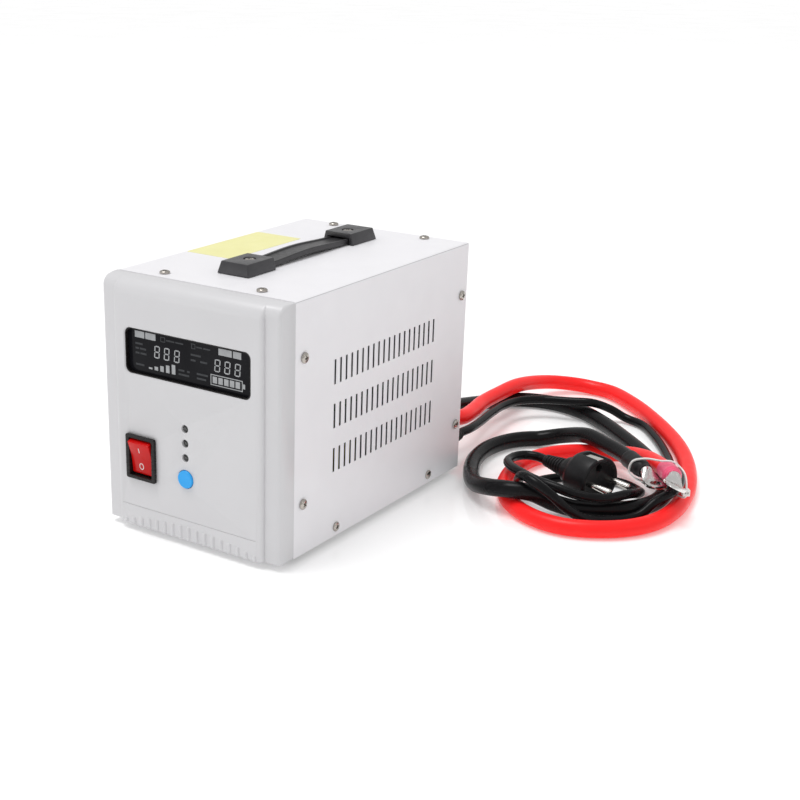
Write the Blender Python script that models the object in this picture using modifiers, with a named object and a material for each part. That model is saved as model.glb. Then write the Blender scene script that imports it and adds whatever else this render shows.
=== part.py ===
"""Power inverter in a steel case: plastic front with display, strap handle, fan, outlet and three leads.

Metres, +Z up, +X to the right seen from the front, the front panel faces -Y.
All parts hang on one empty whose origin is the front wing face, at the middle of the cover's lower edge.
"""
import math

import bmesh
import bpy
from mathutils import Matrix, Vector

# ---------------------------------------------------------------- driving dimensions
cover_width = 0.1458          # steel cover, outside
cover_height = 0.1725         # cover top above its lower edge
case_depth = 0.2313           # front wing face to the cover's rear edge
sheet = 0.0010                # steel thickness
fit = 0.0003                  # gap between pieces that touch
foot_height = 0.0040
foot_radius = 0.0065
cover_corner = 0.0015         # bend radius of the cover's top edges

bezel_depth = 0.0158
bezel_overhang = 0.00015      # bezel stands this much outside the cover on each side
bezel_wall = 0.0025
bezel_bottom = 0.0010
bezel_top_gap = 0.0002        # bezel top below the cover top
bezel_top_radius = 0.0075
bezel_edge_radius = 0.0025
wing_width = 0.0114           # flat wings beside the bezel's raised middle panel
panel_raise = 0.0030
panel_top_radius = 0.0105

rib_count = 17
rib_pitch = 0.0069
rib_radius = 0.0017
rib_raise = 0.0011
rib_low = 0.0050              # rib tops above the cover's lower edge, at the ends and in the middle
rib_high = 0.0110

window_width = 0.1040
window_height = 0.0312
window_below_top = 0.0474      # middle of the display below the cover's top
window_radius = 0.0045
lens_lip = 0.0025             # lens reaches this far past the opening
lens_thickness = 0.0016

controls_x = -0.0015          # column of lamps and the output button
lamp_heights = (0.0798, 0.0697, 0.0596)
lamp_radius = 0.0024
button_height = 0.0446
button_radius = 0.0062
button_stands_out = 0.0012
button_travel = 0.0015
control_gap = 0.0004          # round play of lamps and button in their holes

rocker_x = -0.0393
rocker_z = 0.0513
rocker_flange = 0.0017        # frame past the body, all round
rocker_frame_thickness = 0.0019
rocker_body_width = 0.0220
rocker_body_height = 0.0280
rocker_body_depth = 0.0200
rocker_wall = 0.0013
rocker_play = 0.0006
rocker_swing = math.radians(12.0)
rocker_crown = 0.0019         # ends of the rocker outward of its pivot, when it is level
rocker_pivot_depth = 0.0021   # pivot behind the frame's front face

board_front_y = 0.0110
board_thickness = 0.0016
board_margin = 0.0055         # board past the lens, above and below, for its bosses

vent_rows = (0.0559, 0.0867, 0.1170)
vent_count = 20
vent_first_y = 0.0611
vent_pitch = 0.00655
vent_width = 0.0022
vent_height = 0.0169

screw_shaft = 0.00145
screw_head = 0.0036
screw_head_height = 0.0019
screw_length = 0.0070
side_screw_low = 0.0360
side_screw_below_top = 0.0375
rear_screw_inset = 0.0078     # rear screws, from the cover's end
front_screw_y = 0.0255
top_screw_x = 0.0400
low_screws = (0.0650, 0.1863)
low_screw_z = 0.0067
flange_width = 0.0140

handle_middle_y = 0.1237
handle_screw_spacing = 0.1170
handle_cap_width = 0.0260
handle_cap_length = 0.0310
handle_cap_height = 0.0084
handle_cap_taper = 0.0020
handle_cap_beyond_screw = 0.0187
strap_width = 0.0174
strap_thickness = 0.0040
strap_arch = 0.0016
strap_end_beyond_screw = 0.0075
strap_play = 0.0015

transformer_radius = 0.0520
transformer_bore = 0.0170
transformer_height = 0.0460
transformer_y = 0.1050
board_side_gap = 0.0086       # power board to the inside of the case
power_board_front = 0.0340
power_board_rear_gap = 0.0353
post_side = 0.0090
post_inset = 0.0070           # post axis inside the power board's edge, from its sides
post_end_inset = 0.0110       # and from its ends
heatsink_inset = 0.0110
heatsink_length = 0.1100
foot_side_inset = 0.0176
foot_end_inset = 0.0320
tier_height = 0.0840          # underside of the power board above the pan's underside

fan_size = 0.0800
fan_depth = 0.0250
fan_side_gap = 0.0076
fan_top_gap = 0.0112
fan_bore = 0.0383
fan_blade_tip = 0.0370
fan_hub = 0.0170

outlet_side_gap = 0.0066
outlet_z = 0.1250
outlet_plate = 0.0460
outlet_plate_thickness = 0.0030
outlet_cup = 0.0195
outlet_cup_depth = 0.0170
outlet_body = 0.0212
breaker_z = 0.0750
breaker_neck = 0.0055
breaker_button_radius = 0.0032

battery_lead_radius = 0.0062
mains_lead_radius = 0.0035
red_exit = (0.0440, 0.0270)   # x and z of each lead on the rear panel
black_exit = (0.0140, 0.0270)
mains_exit = (0.0620, 0.0180)
battery_grommet_length = 0.0080
mains_boot_length = 0.0200
lead_points_per_metre = 78
plug_radius = 0.0183
plug_pin_spacing = 0.0190
plug_pin_radius = 0.0024
plug_turn = math.radians(-18.8)
lug_hole = 0.0042

# ---------------------------------------------------------------- values that follow from them
inside_x = cover_width / 2 - sheet - fit          # pan, front plate and rear panel flanges
inside_top = cover_height - sheet - fit
grommet_neck = battery_lead_radius + 0.0017       # rubber where it passes through the rear panel
boot_neck = mains_lead_radius + 0.0021
panel_face = case_depth - 0.0010                  # outer face of the rear panel
rear_screw_y = case_depth - rear_screw_inset
front_plate_y = bezel_depth + fit
front_face = -panel_raise
pan_flange_top = 0.0130
panel_half_width = cover_width / 2 - wing_width
window_middle_z = cover_height - window_below_top
side_screw_high = cover_height - side_screw_below_top
rocker_frame_width = rocker_body_width + 2 * rocker_flange
rocker_frame_height = rocker_body_height + 2 * rocker_flange
board_half_width = inside_x - board_side_gap
power_board_rear = case_depth - power_board_rear_gap
fan_x = fan_side_gap + fan_size / 2 - inside_x
fan_z = inside_top - fan_top_gap - fan_size / 2
outlet_x = inside_x - outlet_side_gap - outlet_plate / 2
breaker_x = outlet_x
rocker_pivot_y = front_face - fit - rocker_frame_thickness + rocker_pivot_depth
rocker_reach = rocker_body_height / 2 - rocker_wall / 2 - rocker_play - 0.0004
rocker_tip = round(
    rocker_crown * math.cos(rocker_swing) + (rocker_reach - 0.0007) * math.sin(rocker_swing), 4)
front_most = rocker_pivot_y - rocker_tip
breaker_end = panel_face + 0.0062
boot_end = panel_face + mains_boot_length
origin_y = (front_most + boot_end) / 2            # the origin is the middle of the box without the leads
strap_bottom = cover_height + 2 * fit
front_handle_screw = handle_middle_y - handle_screw_spacing / 2
rear_handle_screw = handle_middle_y + handle_screw_spacing / 2

# Routes of the three leads: x, y, z in millimetres on the parts' frame, chosen by hand.
red_route = [
    (44, 238.7, 27), (44, 246, 26.9), (45, 256, 25.6), (49, 278, 21.5), (45, 303, 19), (39, 331, 17.6),
    (37, 365, 16.5),
    (37, 392, 15.7), (39, 424, 11.2), (48, 452, 6), (67, 466, 3), (91, 466, 1.6), (121, 447, 1.6),
    (158, 412, 1.6), (187, 378, 1.6), (208, 346, 1.6), (224, 313, 1.6), (236, 279, 1.6), (242, 243, 1.6),
    (240, 215, 1.6), (230, 193, 1.6), (212, 176, 1.6), (190, 167, 1.6), (166, 170, 1.6), (142, 185, 1.6),
    (123, 213, 1.6), (114, 245, 1.6), (115, 274, 1.6), (124, 296, 1.6), (139, 311, 1.6), (157, 318, 3),
    (178, 312, 8.5), (198, 297, 14), (214, 280, 17.6), (226, 264, 20.8), (235, 249, 24),
]
black_route = [
    (14, 238.7, 27), (14, 246, 26.9), (14, 256, 25.6), (14, 285, 19), (16, 330, 10.5), (19, 364, 4.5),
    (28, 388, 1.6),
    (46, 402, 1.6), (70, 407, 1.6), (98, 400, 1.6), (126, 382, 1.6), (150, 362, 1.6), (174, 340, 1.6),
    (198, 314, 1.6), (216, 287, 1.6), (225, 261, 1.6), (224, 241, 1.6), (216, 224, 1.6), (201, 211, 1.6),
    (186, 202, 2), (172, 193, 6.5), (159, 183, 14), (144, 177, 15.1), (127, 180, 11.8), (108, 195, 5.5),
    (91, 220, 2), (79, 248, 1.6), (76, 277, 1.6), (83, 302, 1.6), (98, 318, 2.5), (118, 323, 8),
    (140, 314, 15.1), (163, 300, 16.4), (182, 287, 17), (206, 266, 17.4),
]
mains_route = [
    (62, 250.7, 18), (62, 256, 18), (62, 268, 17.3), (59, 290, 16), (54, 318, 14.8), (50, 346, 12.8),
    (53, 370, 11.5),
    (67, 385, 11.3), (89, 392, 12.4), (106, 399, 12.5), (118, 408, 7.2), (130, 412, 1), (147, 407, -0.3),
    (170, 382, -0.3), (192, 350, -0.3), (211, 315, 2.5), (221, 297, 8.8), (231, 278, 12.8), (237, 258, 13.9),
    (238, 243, 13.7), (232, 229, 9.8), (226, 219, 2.5), (218, 210, -0.3), (209, 201, -0.3), (199, 191, 1),
    (188, 183, 8), (177, 178, 18), (165, 176, 25.2), (154, 180, 26.6), (147, 187, 21.6), (142, 196, 12),
    (138, 207, 4.8), (136, 222, 0.3), (137, 240, -0.3), (149, 259, -0.3), (170, 272, -0.3), (190, 273, -0.3),
    (206, 263, 1), (213, 246, 6.6), (214, 224, 13.2), (203, 205, 13.2), (186, 197, 15), (169, 194, 18.2),
    (154, 197, 18.6), (139, 206, 17.6), (126, 216, 16), (117, 228, 15), (116.5, 240.5, 14.6),
    (121.5, 248.3, 14.5), (130, 250.2, 14.5), (138, 247.5, 14.5),
]
tie_route = [
    (196.8, 264.1, 14), (203, 262.5, 10.3), (214, 262, 9.7), (228, 256.5, 9.5), (239, 251.5, 9.4),
    (246.5, 246.8, 11.5),
    (247.5, 245.2, 19), (244, 247.5, 29), (234, 252.5, 33), (222, 258, 29.8), (208, 263.5, 26.6),
    (198.2, 265.3, 21.5),
]

# ---------------------------------------------------------------- scene and helpers
for old in list(bpy.data.objects):
    bpy.data.objects.remove(old, do_unlink=True)

scene_collection = bpy.context.scene.collection
parts = bpy.data.collections.new("power_inverter")
cutters = bpy.data.collections.new("cutters")
scene_collection.children.link(parts)
scene_collection.children.link(cutters)

frame = bpy.data.objects.new("case_frame", None)
frame.location = (0.0, -origin_y, foot_height)
parts.objects.link(frame)


def make_material(name, color, roughness, metallic=0.0):
    """A plain Principled material."""
    mat = bpy.data.materials.new(name)
    mat.use_nodes = True
    shader = mat.node_tree.nodes["Principled BSDF"]
    shader.inputs["Base Color"].default_value = (*color, 1.0)
    shader.inputs["Roughness"].default_value = roughness
    shader.inputs["Metallic"].default_value = metallic
    return mat


white_paint = make_material("white_painted_steel", (0.80, 0.80, 0.81), 0.45)
white_plastic = make_material("white_plastic", (0.78, 0.78, 0.80), 0.35)
zinc_steel = make_material("zinc_steel", (0.55, 0.56, 0.58), 0.35, 1.0)
nickel = make_material("nickel_screw", (0.62, 0.60, 0.57), 0.28, 1.0)
dark_lens = make_material("smoked_lens", (0.010, 0.010, 0.012), 0.08)
lcd_glass = make_material("lcd_glass", (0.02, 0.02, 0.03), 0.15)
green_board = make_material("green_board", (0.02, 0.14, 0.05), 0.45)
black_plastic = make_material("black_plastic", (0.02, 0.02, 0.022), 0.45)
grey_plastic = make_material("dark_grey_plastic", (0.085, 0.085, 0.09), 0.55)
red_lens = make_material("red_rocker", (0.75, 0.02, 0.015), 0.15)
blue_plastic = make_material("blue_button", (0.05, 0.35, 0.85), 0.35)
lamp_plastic = make_material("dark_lamp", (0.015, 0.02, 0.015), 0.12)
rubber = make_material("rubber", (0.03, 0.03, 0.03), 0.8)
red_pvc = make_material("red_pvc", (0.75, 0.015, 0.012), 0.35)
black_pvc = make_material("black_pvc", (0.012, 0.012, 0.013), 0.38)
tinned = make_material("tinned_copper", (0.75, 0.74, 0.72), 0.22, 1.0)
nylon = make_material("white_nylon", (0.82, 0.82, 0.80), 0.4)
tape = make_material("yellow_winding_tape", (0.65, 0.48, 0.08), 0.4)
alloy = make_material("aluminium", (0.70, 0.70, 0.71), 0.35, 1.0)
cap_sleeve = make_material("capacitor_sleeve", (0.02, 0.03, 0.10), 0.35)


def place(obj, name, mat=None):
    """Name an object and hang it on the frame, as a part or, without material, as a cutter."""
    for owner in list(obj.users_collection):
        owner.objects.unlink(obj)
    obj.name = name
    obj.parent = frame
    if mat is None:
        cutters.objects.link(obj)
        obj.hide_render = True
        obj.display_type = "WIRE"
    else:
        parts.objects.link(obj)
        obj.data.materials.clear()
        obj.data.materials.append(mat)
    return obj


def mesh_object(name, bm, mat=None, at=(0, 0, 0)):
    """Turn a bmesh into a placed object."""
    mesh = bpy.data.meshes.new(name)
    bmesh.ops.recalc_face_normals(bm, faces=bm.faces)
    bm.to_mesh(mesh)
    bm.free()
    obj = bpy.data.objects.new(name, mesh)
    scene_collection.objects.link(obj)
    obj.location = at
    return place(obj, name, mat)


def add_box(bm, low, high):
    """Add a closed box between two corners to a bmesh."""
    low = Vector(low)
    high = Vector(high)
    size = Matrix.Diagonal((*(high - low), 1.0))
    return bmesh.ops.create_cube(bm, size=1.0, matrix=Matrix.Translation((low + high) / 2) @ size)["verts"]


def box(name, low, high, mat=None):
    """One box as an object."""
    bm = bmesh.new()
    add_box(bm, low, high)
    return mesh_object(name, bm, mat)


def add_rod(bm, start, end, radius, segments):
    """Add a closed cylinder from start to end to a bmesh."""
    start = Vector(start)
    along = Vector(end) - start
    turn = Vector((0, 0, 1)).rotation_difference(along).to_matrix().to_4x4()
    bmesh.ops.create_cone(
        bm, cap_ends=True, segments=segments, radius1=radius, radius2=radius, depth=along.length,
        matrix=Matrix.Translation(start + along / 2) @ turn)


def rods(name, ends, radius, segments, mat=None):
    """Several cylinders of one radius as one object."""
    bm = bmesh.new()
    for start, end in ends:
        add_rod(bm, start, end, radius, segments)
    return mesh_object(name, bm, mat)


def combine(target, tool, operation):
    """Boolean with the exact solver."""
    step = target.modifiers.new(operation.lower(), "BOOLEAN")
    step.operation = operation
    step.solver = "EXACT"
    step.object = tool
    return target


def cut(target, *tools):
    """Cut each tool out of the target."""
    for tool in tools:
        combine(target, tool, "DIFFERENCE")
    return target


def weld(target, *tools):
    """Join each tool to the target."""
    for tool in tools:
        combine(target, tool, "UNION")
    return target


def round_edges(obj, width, segments=2):
    """Bevel all sharp edges of an object."""
    step = obj.modifiers.new("edges", "BEVEL")
    step.width = width
    step.segments = segments
    step.limit_method = "ANGLE"
    return obj


def turned(name, profile, at, direction, steps, mat=None, ring=False):
    """Turn a profile of (radius, height) about an axis; the profile runs down its outer side."""
    mesh = bpy.data.meshes.new(name)
    edges = [(i, i + 1) for i in range(len(profile) - 1)]
    if ring:
        edges.append((len(profile) - 1, 0))
    mesh.from_pydata([(r, 0.0, h) for r, h in profile], edges, [])
    obj = bpy.data.objects.new(name, mesh)
    scene_collection.objects.link(obj)
    step = obj.modifiers.new("turn", "SCREW")
    step.axis = "Z"
    step.steps = steps
    step.render_steps = steps
    step.use_merge_vertices = True
    step.merge_threshold = 0.00001
    step.use_smooth_shade = True
    obj.location = at
    obj.rotation_euler = Vector((0, 0, 1)).rotation_difference(Vector(direction)).to_euler()
    return place(obj, name, mat)


def outline(name, points, half_thickness, mat=None):
    """A flat outline in the local XY plane with thickness along local Z, as a mesh object."""
    curve = bpy.data.curves.new(name, "CURVE")
    curve.dimensions = "2D"
    curve.fill_mode = "BOTH"
    curve.extrude = half_thickness
    spline = curve.splines.new("POLY")
    spline.points.add(len(points) - 1)
    for point, (x, y) in zip(spline.points, points):
        point.co = (x, y, 0.0, 1.0)
    spline.use_cyclic_u = True
    obj = bpy.data.objects.new(name + "_outline", curve)
    scene_collection.objects.link(obj)
    bpy.context.view_layer.update()
    evaluated = obj.evaluated_get(bpy.context.evaluated_depsgraph_get())
    mesh = bpy.data.meshes.new_from_object(evaluated)
    bm = bmesh.new()
    bm.from_mesh(mesh)
    bmesh.ops.remove_doubles(bm, verts=bm.verts, dist=0.00001)
    bpy.data.meshes.remove(mesh)
    bpy.data.objects.remove(obj, do_unlink=True)
    return mesh_object(name, bm, mat)


def rounded_rectangle(width, height, radius, corner_steps):
    """Corner points of a rectangle with round corners, about the origin."""
    points = []
    for quarter in range(4):
        side_x = (1, -1, -1, 1)[quarter]
        side_y = (1, 1, -1, -1)[quarter]
        middle = (side_x * (width / 2 - radius), side_y * (height / 2 - radius))
        for i in range(corner_steps + 1):
            angle = math.pi / 2 * (quarter + i / corner_steps)
            points.append((middle[0] + radius * math.cos(angle), middle[1] + radius * math.sin(angle)))
    return points


facing_front = Matrix(((1, 0, 0), (0, 0, -1), (0, 1, 0))).to_euler()   # local Y goes to +Z and local Z to -Y


def catmull_rom(points, closed=False):
    """Smooth curve through the points, as closely spaced samples."""
    points = [Vector(p) for p in points]
    if closed:
        chain = [points[-1], *points, points[0], points[1]]
    else:
        chain = [2 * points[0] - points[1], *points, 2 * points[-1] - points[-2]]
    samples = []
    per_span = 16
    for p0, p1, p2, p3 in zip(chain, chain[1:], chain[2:], chain[3:]):
        t1 = math.sqrt((p1 - p0).length)
        t2 = t1 + math.sqrt((p2 - p1).length)
        t3 = t2 + math.sqrt((p3 - p2).length)
        for i in range(per_span):
            t = t1 + (t2 - t1) * i / per_span
            a1 = p0.lerp(p1, t / t1)
            a2 = p1.lerp(p2, (t - t1) / (t2 - t1))
            a3 = p2.lerp(p3, (t - t2) / (t3 - t2))
            b1 = a1.lerp(a2, t / t2)
            b2 = a2.lerp(a3, (t - t1) / (t3 - t1))
            samples.append(b1.lerp(b2, (t - t1) / (t2 - t1)))
    samples.append(chain[-2].copy())
    return samples


def evenly(samples, count):
    """Points at equal distances along a sampled curve."""
    reach = [0.0]
    for a, b in zip(samples, samples[1:]):
        reach.append(reach[-1] + (b - a).length)
    points = []
    k = 0
    for i in range(count + 1):
        goal = reach[-1] * i / count
        while k < len(samples) - 2 and reach[k + 1] < goal:
            k += 1
        span = reach[k + 1] - reach[k]
        points.append(samples[k].lerp(samples[k + 1], (goal - reach[k]) / span))
    return points, reach[-1]


def lead(name, route, radius, mat, closed=False, points_per_metre=lead_points_per_metre):
    """A round lead along a route given in millimetres, kept on or above the floor."""
    samples = catmull_rom([Vector(p) / 1000 for p in route], closed)
    floor = radius - foot_height + 0.00005
    for p in samples:
        p.z = max(p.z, floor)
    length = evenly(samples, 1)[1]
    points, length = evenly(samples, max(12, int(length * points_per_metre)))
    if closed:
        points = points[:-1]
    curve = bpy.data.curves.new(name, "CURVE")
    curve.dimensions = "3D"
    curve.bevel_depth = radius
    curve.bevel_resolution = 2
    curve.use_fill_caps = not closed
    spline = curve.splines.new("POLY")
    spline.points.add(len(points) - 1)
    for point, p in zip(spline.points, points):
        point.co = (*p, 1.0)
    spline.use_cyclic_u = closed
    obj = bpy.data.objects.new(name, curve)
    scene_collection.objects.link(obj)
    place(obj, name, mat)
    return points


# ---------------------------------------------------------------- steel case
def build_cover():
    """Inverted U of sheet steel with three rows of vents in each side."""
    half = cover_width / 2
    bm = bmesh.new()
    add_box(bm, (-half, bezel_depth + fit, 0), (half, case_depth, cover_height))
    top_edges = [e for e in bm.edges
                 if all(abs(v.co.z - cover_height) < 1e-6 for v in e.verts)
                 and abs(e.verts[0].co.x - e.verts[1].co.x) < 1e-6]
    bmesh.ops.bevel(bm, geom=top_edges, offset=cover_corner, segments=2, profile=0.5, affect="EDGES")
    cover = mesh_object("top_cover", bm, white_paint)
    hollow = box("cover_hollow", (-half + sheet, 0, -0.01),
                 (half - sheet, case_depth + 0.01, cover_height - sheet))
    bm = bmesh.new()
    for row in vent_rows:
        for i in range(vent_count):
            y = vent_first_y + i * vent_pitch
            for side in (-1, 1):
                add_box(bm, (side * half - 0.003, y - vent_width / 2, row - vent_height / 2),
                        (side * half + 0.003, y + vent_width / 2, row + vent_height / 2))
    cut(cover, hollow, mesh_object("vent_cutter", bm), screw_holes())


def side_screw_places():
    """(y, z) of the four upper cover screws of one side."""
    return [(y, z) for y in (front_screw_y, rear_screw_y) for z in (side_screw_low, side_screw_high)]


def top_screw_places():
    """(x, y) of the four cover screws on top."""
    return [(x, y) for y in (front_screw_y, rear_screw_y) for x in (-top_screw_x, top_screw_x)]


def screw_holes():
    """One cutter for every screw hole in the cover and in the sheets behind it."""
    half = cover_width / 2
    deep = 0.004
    ends = []
    for y, z in side_screw_places() + [(y, low_screw_z) for y in low_screws]:
        for side in (-1, 1):
            ends.append(((side * (half - deep), y, z), (side * (half + deep), y, z)))
    for x, y in top_screw_places():
        ends.append(((x, y, cover_height - deep), (x, y, cover_height + deep)))
    for y in (front_handle_screw, rear_handle_screw):
        ends.append(((0, y, cover_height - deep), (0, y, cover_height + deep)))
    cutter = bpy.data.objects.get("screw_holes")
    if cutter is None:
        cutter = rods("screw_holes", ends, screw_shaft + control_gap + 0.0003, 10)
    return cutter


def build_sheets():
    """Base pan, front plate and rear panel, each with the flanges that the cover screws into."""
    holes = screw_holes()
    pan_front = front_plate_y + sheet + fit
    pan_rear = panel_face - sheet - fit
    pan = box("base_pan", (-inside_x, pan_front, 0), (inside_x, pan_rear, sheet), zinc_steel)
    bm = bmesh.new()
    for side in (-1, 1):
        outer = side * inside_x
        inner = side * (inside_x - sheet)
        add_box(bm, (min(outer, inner), pan_front, 0), (max(outer, inner), pan_rear, pan_flange_top))
    weld(pan, mesh_object("pan_flanges", bm))
    bm = bmesh.new()
    post = post_side / 2
    post_x = board_half_width - post_inset
    for x in (-post_x, post_x):
        for y in (power_board_front + post_end_inset, power_board_rear - post_end_inset):
            add_box(bm, (x - post, y - post, sheet / 2), (x + post, y + post, tier_height - fit))
    weld(pan, mesh_object("pan_posts", bm))
    cut(pan, holes)

    bottom = sheet + fit
    flange_bottom = pan_flange_top + 2 * fit
    for name, face, reach, openings in (
            ("front_plate", front_plate_y, 1, front_plate_openings()),
            ("rear_panel", panel_face, -1, rear_panel_openings())):
        back = face + reach * sheet
        end = face + reach * flange_width
        plate_low = bottom if reach > 0 else 0.0
        plate = box(name, (-inside_x, min(face, back), plate_low), (inside_x, max(face, back), inside_top),
                    zinc_steel if reach > 0 else white_paint)
        bm = bmesh.new()
        near = min(face, end)
        far = max(face, end)
        for side in (-1, 1):
            outer = side * inside_x
            inner = side * (inside_x - sheet)
            add_box(bm, (min(outer, inner), near, flange_bottom), (max(outer, inner), far, inside_top))
        weld(plate, mesh_object(name + "_flanges", bm))
        top_flange = inside_x - 0.0116
        weld(plate, box(name + "_top_flange", (-top_flange, near, inside_top - sheet),
                        (top_flange, far, inside_top)))
        cut(plate, holes, *openings)


def front_plate_openings():
    """Openings for the rocker body and for the wires."""
    spare = 0.0015
    rocker = box(
        "front_plate_rocker_opening",
        (rocker_x - rocker_body_width / 2 - spare, 0, rocker_z - rocker_body_height / 2 - spare),
        (rocker_x + rocker_body_width / 2 + spare, 0.03, rocker_z + rocker_body_height / 2 + spare))
    wires = box("front_plate_wire_opening", (-0.030, 0, 0.085), (0.030, 0.03, 0.100))
    return [rocker, wires]


def rear_panel_openings():
    """Fan, outlet, breaker and lead openings, each a little larger than what passes through."""
    spare = fit
    near = panel_face - 0.005
    far = panel_face + 0.005
    openings = []
    for name, x, z, radius, segments in (
            ("fan_opening", fan_x, fan_z, fan_bore - 0.0008, 28),
            ("outlet_opening", outlet_x, outlet_z, outlet_body + 2 * spare, 24),
            ("breaker_opening", breaker_x, breaker_z, breaker_neck + 2 * spare, 12),
            ("red_opening", *red_exit, grommet_neck + 2 * spare, 12),
            ("black_opening", *black_exit, grommet_neck + 2 * spare, 12),
            ("mains_opening", *mains_exit, boot_neck + 2 * spare, 12)):
        openings.append(rods(name, [((x, near, z), (x, far, z))], radius, segments))
    return openings


def build_screws():
    """Pan-head screws: four on top, four on each side and two in the handle."""
    head = [(0, screw_head_height), (screw_head * 0.6, screw_head_height),
            (screw_head, screw_head_height * 0.45), (screw_head, 0), (screw_shaft, 0),
            (screw_shaft, -screw_length), (0, -screw_length)]
    half = cover_width / 2 + fit
    for number, (x, y) in enumerate(top_screw_places(), 1):
        turned(f"top_screw_{number}", head, (x, y, cover_height + fit), (0, 0, 1), 10, nickel)
    for side, word in ((1, "right"), (-1, "left")):
        for number, (y, z) in enumerate(side_screw_places(), 1):
            turned(f"{word}_screw_{number}", head, (side * half, y, z), (side, 0, 0), 10, nickel)


def build_feet():
    """Four round rubber feet under the pan."""
    profile = [(0, -fit), (foot_radius, -fit), (foot_radius * 0.9, -foot_height), (0, -foot_height)]
    foot_x = inside_x - foot_side_inset
    for fore, y in (("front", foot_end_inset), ("rear", case_depth - foot_end_inset)):
        for side, x in (("left", -foot_x), ("right", foot_x)):
            turned(f"foot_{fore}_{side}", profile, (x, y, 0), (0, 0, 1), 12, rubber)


# ---------------------------------------------------------------- front
def rounded_slab(name, low, high, top_radius, edge_radius, mat=None):
    """A box whose top front edge and front side edges are rounded."""
    bm = bmesh.new()
    add_box(bm, low, high)
    front = low[1]
    top = high[2]
    top_front = [e for e in bm.edges
                 if all(abs(v.co.y - front) < 1e-6 and abs(v.co.z - top) < 1e-6 for v in e.verts)]
    bmesh.ops.bevel(bm, geom=top_front, offset=top_radius, segments=6, profile=0.5, affect="EDGES")
    if edge_radius:
        sides = [e for e in bm.edges
                 if abs(abs(e.verts[0].co.x) - high[0]) < 1e-6
                 and abs(e.verts[0].co.x - e.verts[1].co.x) < 1e-6
                 and all(v.co.y < front + top_radius + 1e-6 for v in e.verts)
                 and any(v.co.y < front + top_radius - 1e-4 for v in e.verts)
                 and not all(abs(v.co.z - low[2]) < 1e-6 for v in e.verts)]
        bmesh.ops.bevel(bm, geom=sides, offset=edge_radius, segments=2, profile=0.5, affect="EDGES")
    return mesh_object(name, bm, mat)


def build_ribs():
    """Half-round ribs along the panel's lower edge, their tops following an arch."""
    ends = []
    for i in range(rib_count):
        x = (i - (rib_count - 1) / 2) * rib_pitch
        share = 2 * x / ((rib_count - 1) * rib_pitch)
        top = rib_low + (rib_high - rib_low) * (1 - share ** 2)
        y = front_face + rib_radius - rib_raise
        ends.append(((x, y, bezel_bottom + 0.0001), (x, y, top)))
    return rods("panel_ribs", ends, rib_radius, 8)


def build_bezel():
    """Moulded front: two wings, a raised middle panel, and openings for the display and the controls."""
    half = cover_width / 2 + bezel_overhang
    top = cover_height - bezel_top_gap
    bezel = rounded_slab("front_bezel", (-half, 0, bezel_bottom), (half, bezel_depth, top),
                         bezel_top_radius, bezel_edge_radius, white_plastic)
    raised = rounded_slab("raised_panel", (-panel_half_width, front_face, bezel_bottom),
                          (panel_half_width, bezel_depth / 2, top), panel_top_radius, 0)
    weld(bezel, raised, build_ribs())
    wall = bezel_wall
    hollow = box("bezel_hollow", (-half + wall, wall, bezel_bottom + wall),
                 (half - wall, bezel_depth + 0.01, top - wall - bezel_top_radius * 0.3))
    pocket = box("panel_pocket", (-panel_half_width + wall, front_face + panel_raise, bezel_bottom + wall),
                 (panel_half_width - wall, wall + 0.001, top - panel_top_radius - wall))
    window = outline("window_cutter", rounded_rectangle(window_width, window_height, window_radius, 3), 0.008)
    window.rotation_euler = facing_front
    window.location = (0, 0, window_middle_z)
    half_w = rocker_body_width / 2 + fit
    half_h = rocker_body_height / 2 + fit
    rocker = box("rocker_cutter", (rocker_x - half_w, -0.01, rocker_z - half_h),
                 (rocker_x + half_w, 0.01, rocker_z + half_h))
    lamps = rods("lamp_cutter", [((controls_x, -0.01, z), (controls_x, 0.01, z)) for z in lamp_heights],
                 lamp_radius + control_gap, 12)
    button = rods("button_cutter", [((controls_x, -0.01, button_height), (controls_x, 0.01, button_height))],
                  button_radius + control_gap, 20)
    cut(bezel, hollow, pocket, window, rocker, lamps, button)
    off = window_height / 2 + lens_lip + board_margin / 2
    ends = []
    boss_x = window_width / 2 - 0.0080
    for x in (-boss_x, boss_x):
        for z in (window_middle_z - off, window_middle_z + off):
            ends.append(((x, front_face + panel_raise - 0.001, z), (x, board_front_y - fit, z)))
    weld(bezel, rods("board_bosses", ends, 0.0022, 8))
    ends = []
    boss_x = half - wall - 0.0050
    for x in (-boss_x, boss_x):
        for z in (0.020, 0.090, cover_height - 0.0225):
            ends.append(((x, wall - 0.001, z), (x, bezel_depth, z)))
    weld(bezel, rods("bezel_bosses", ends, 0.0030, 8))


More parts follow.
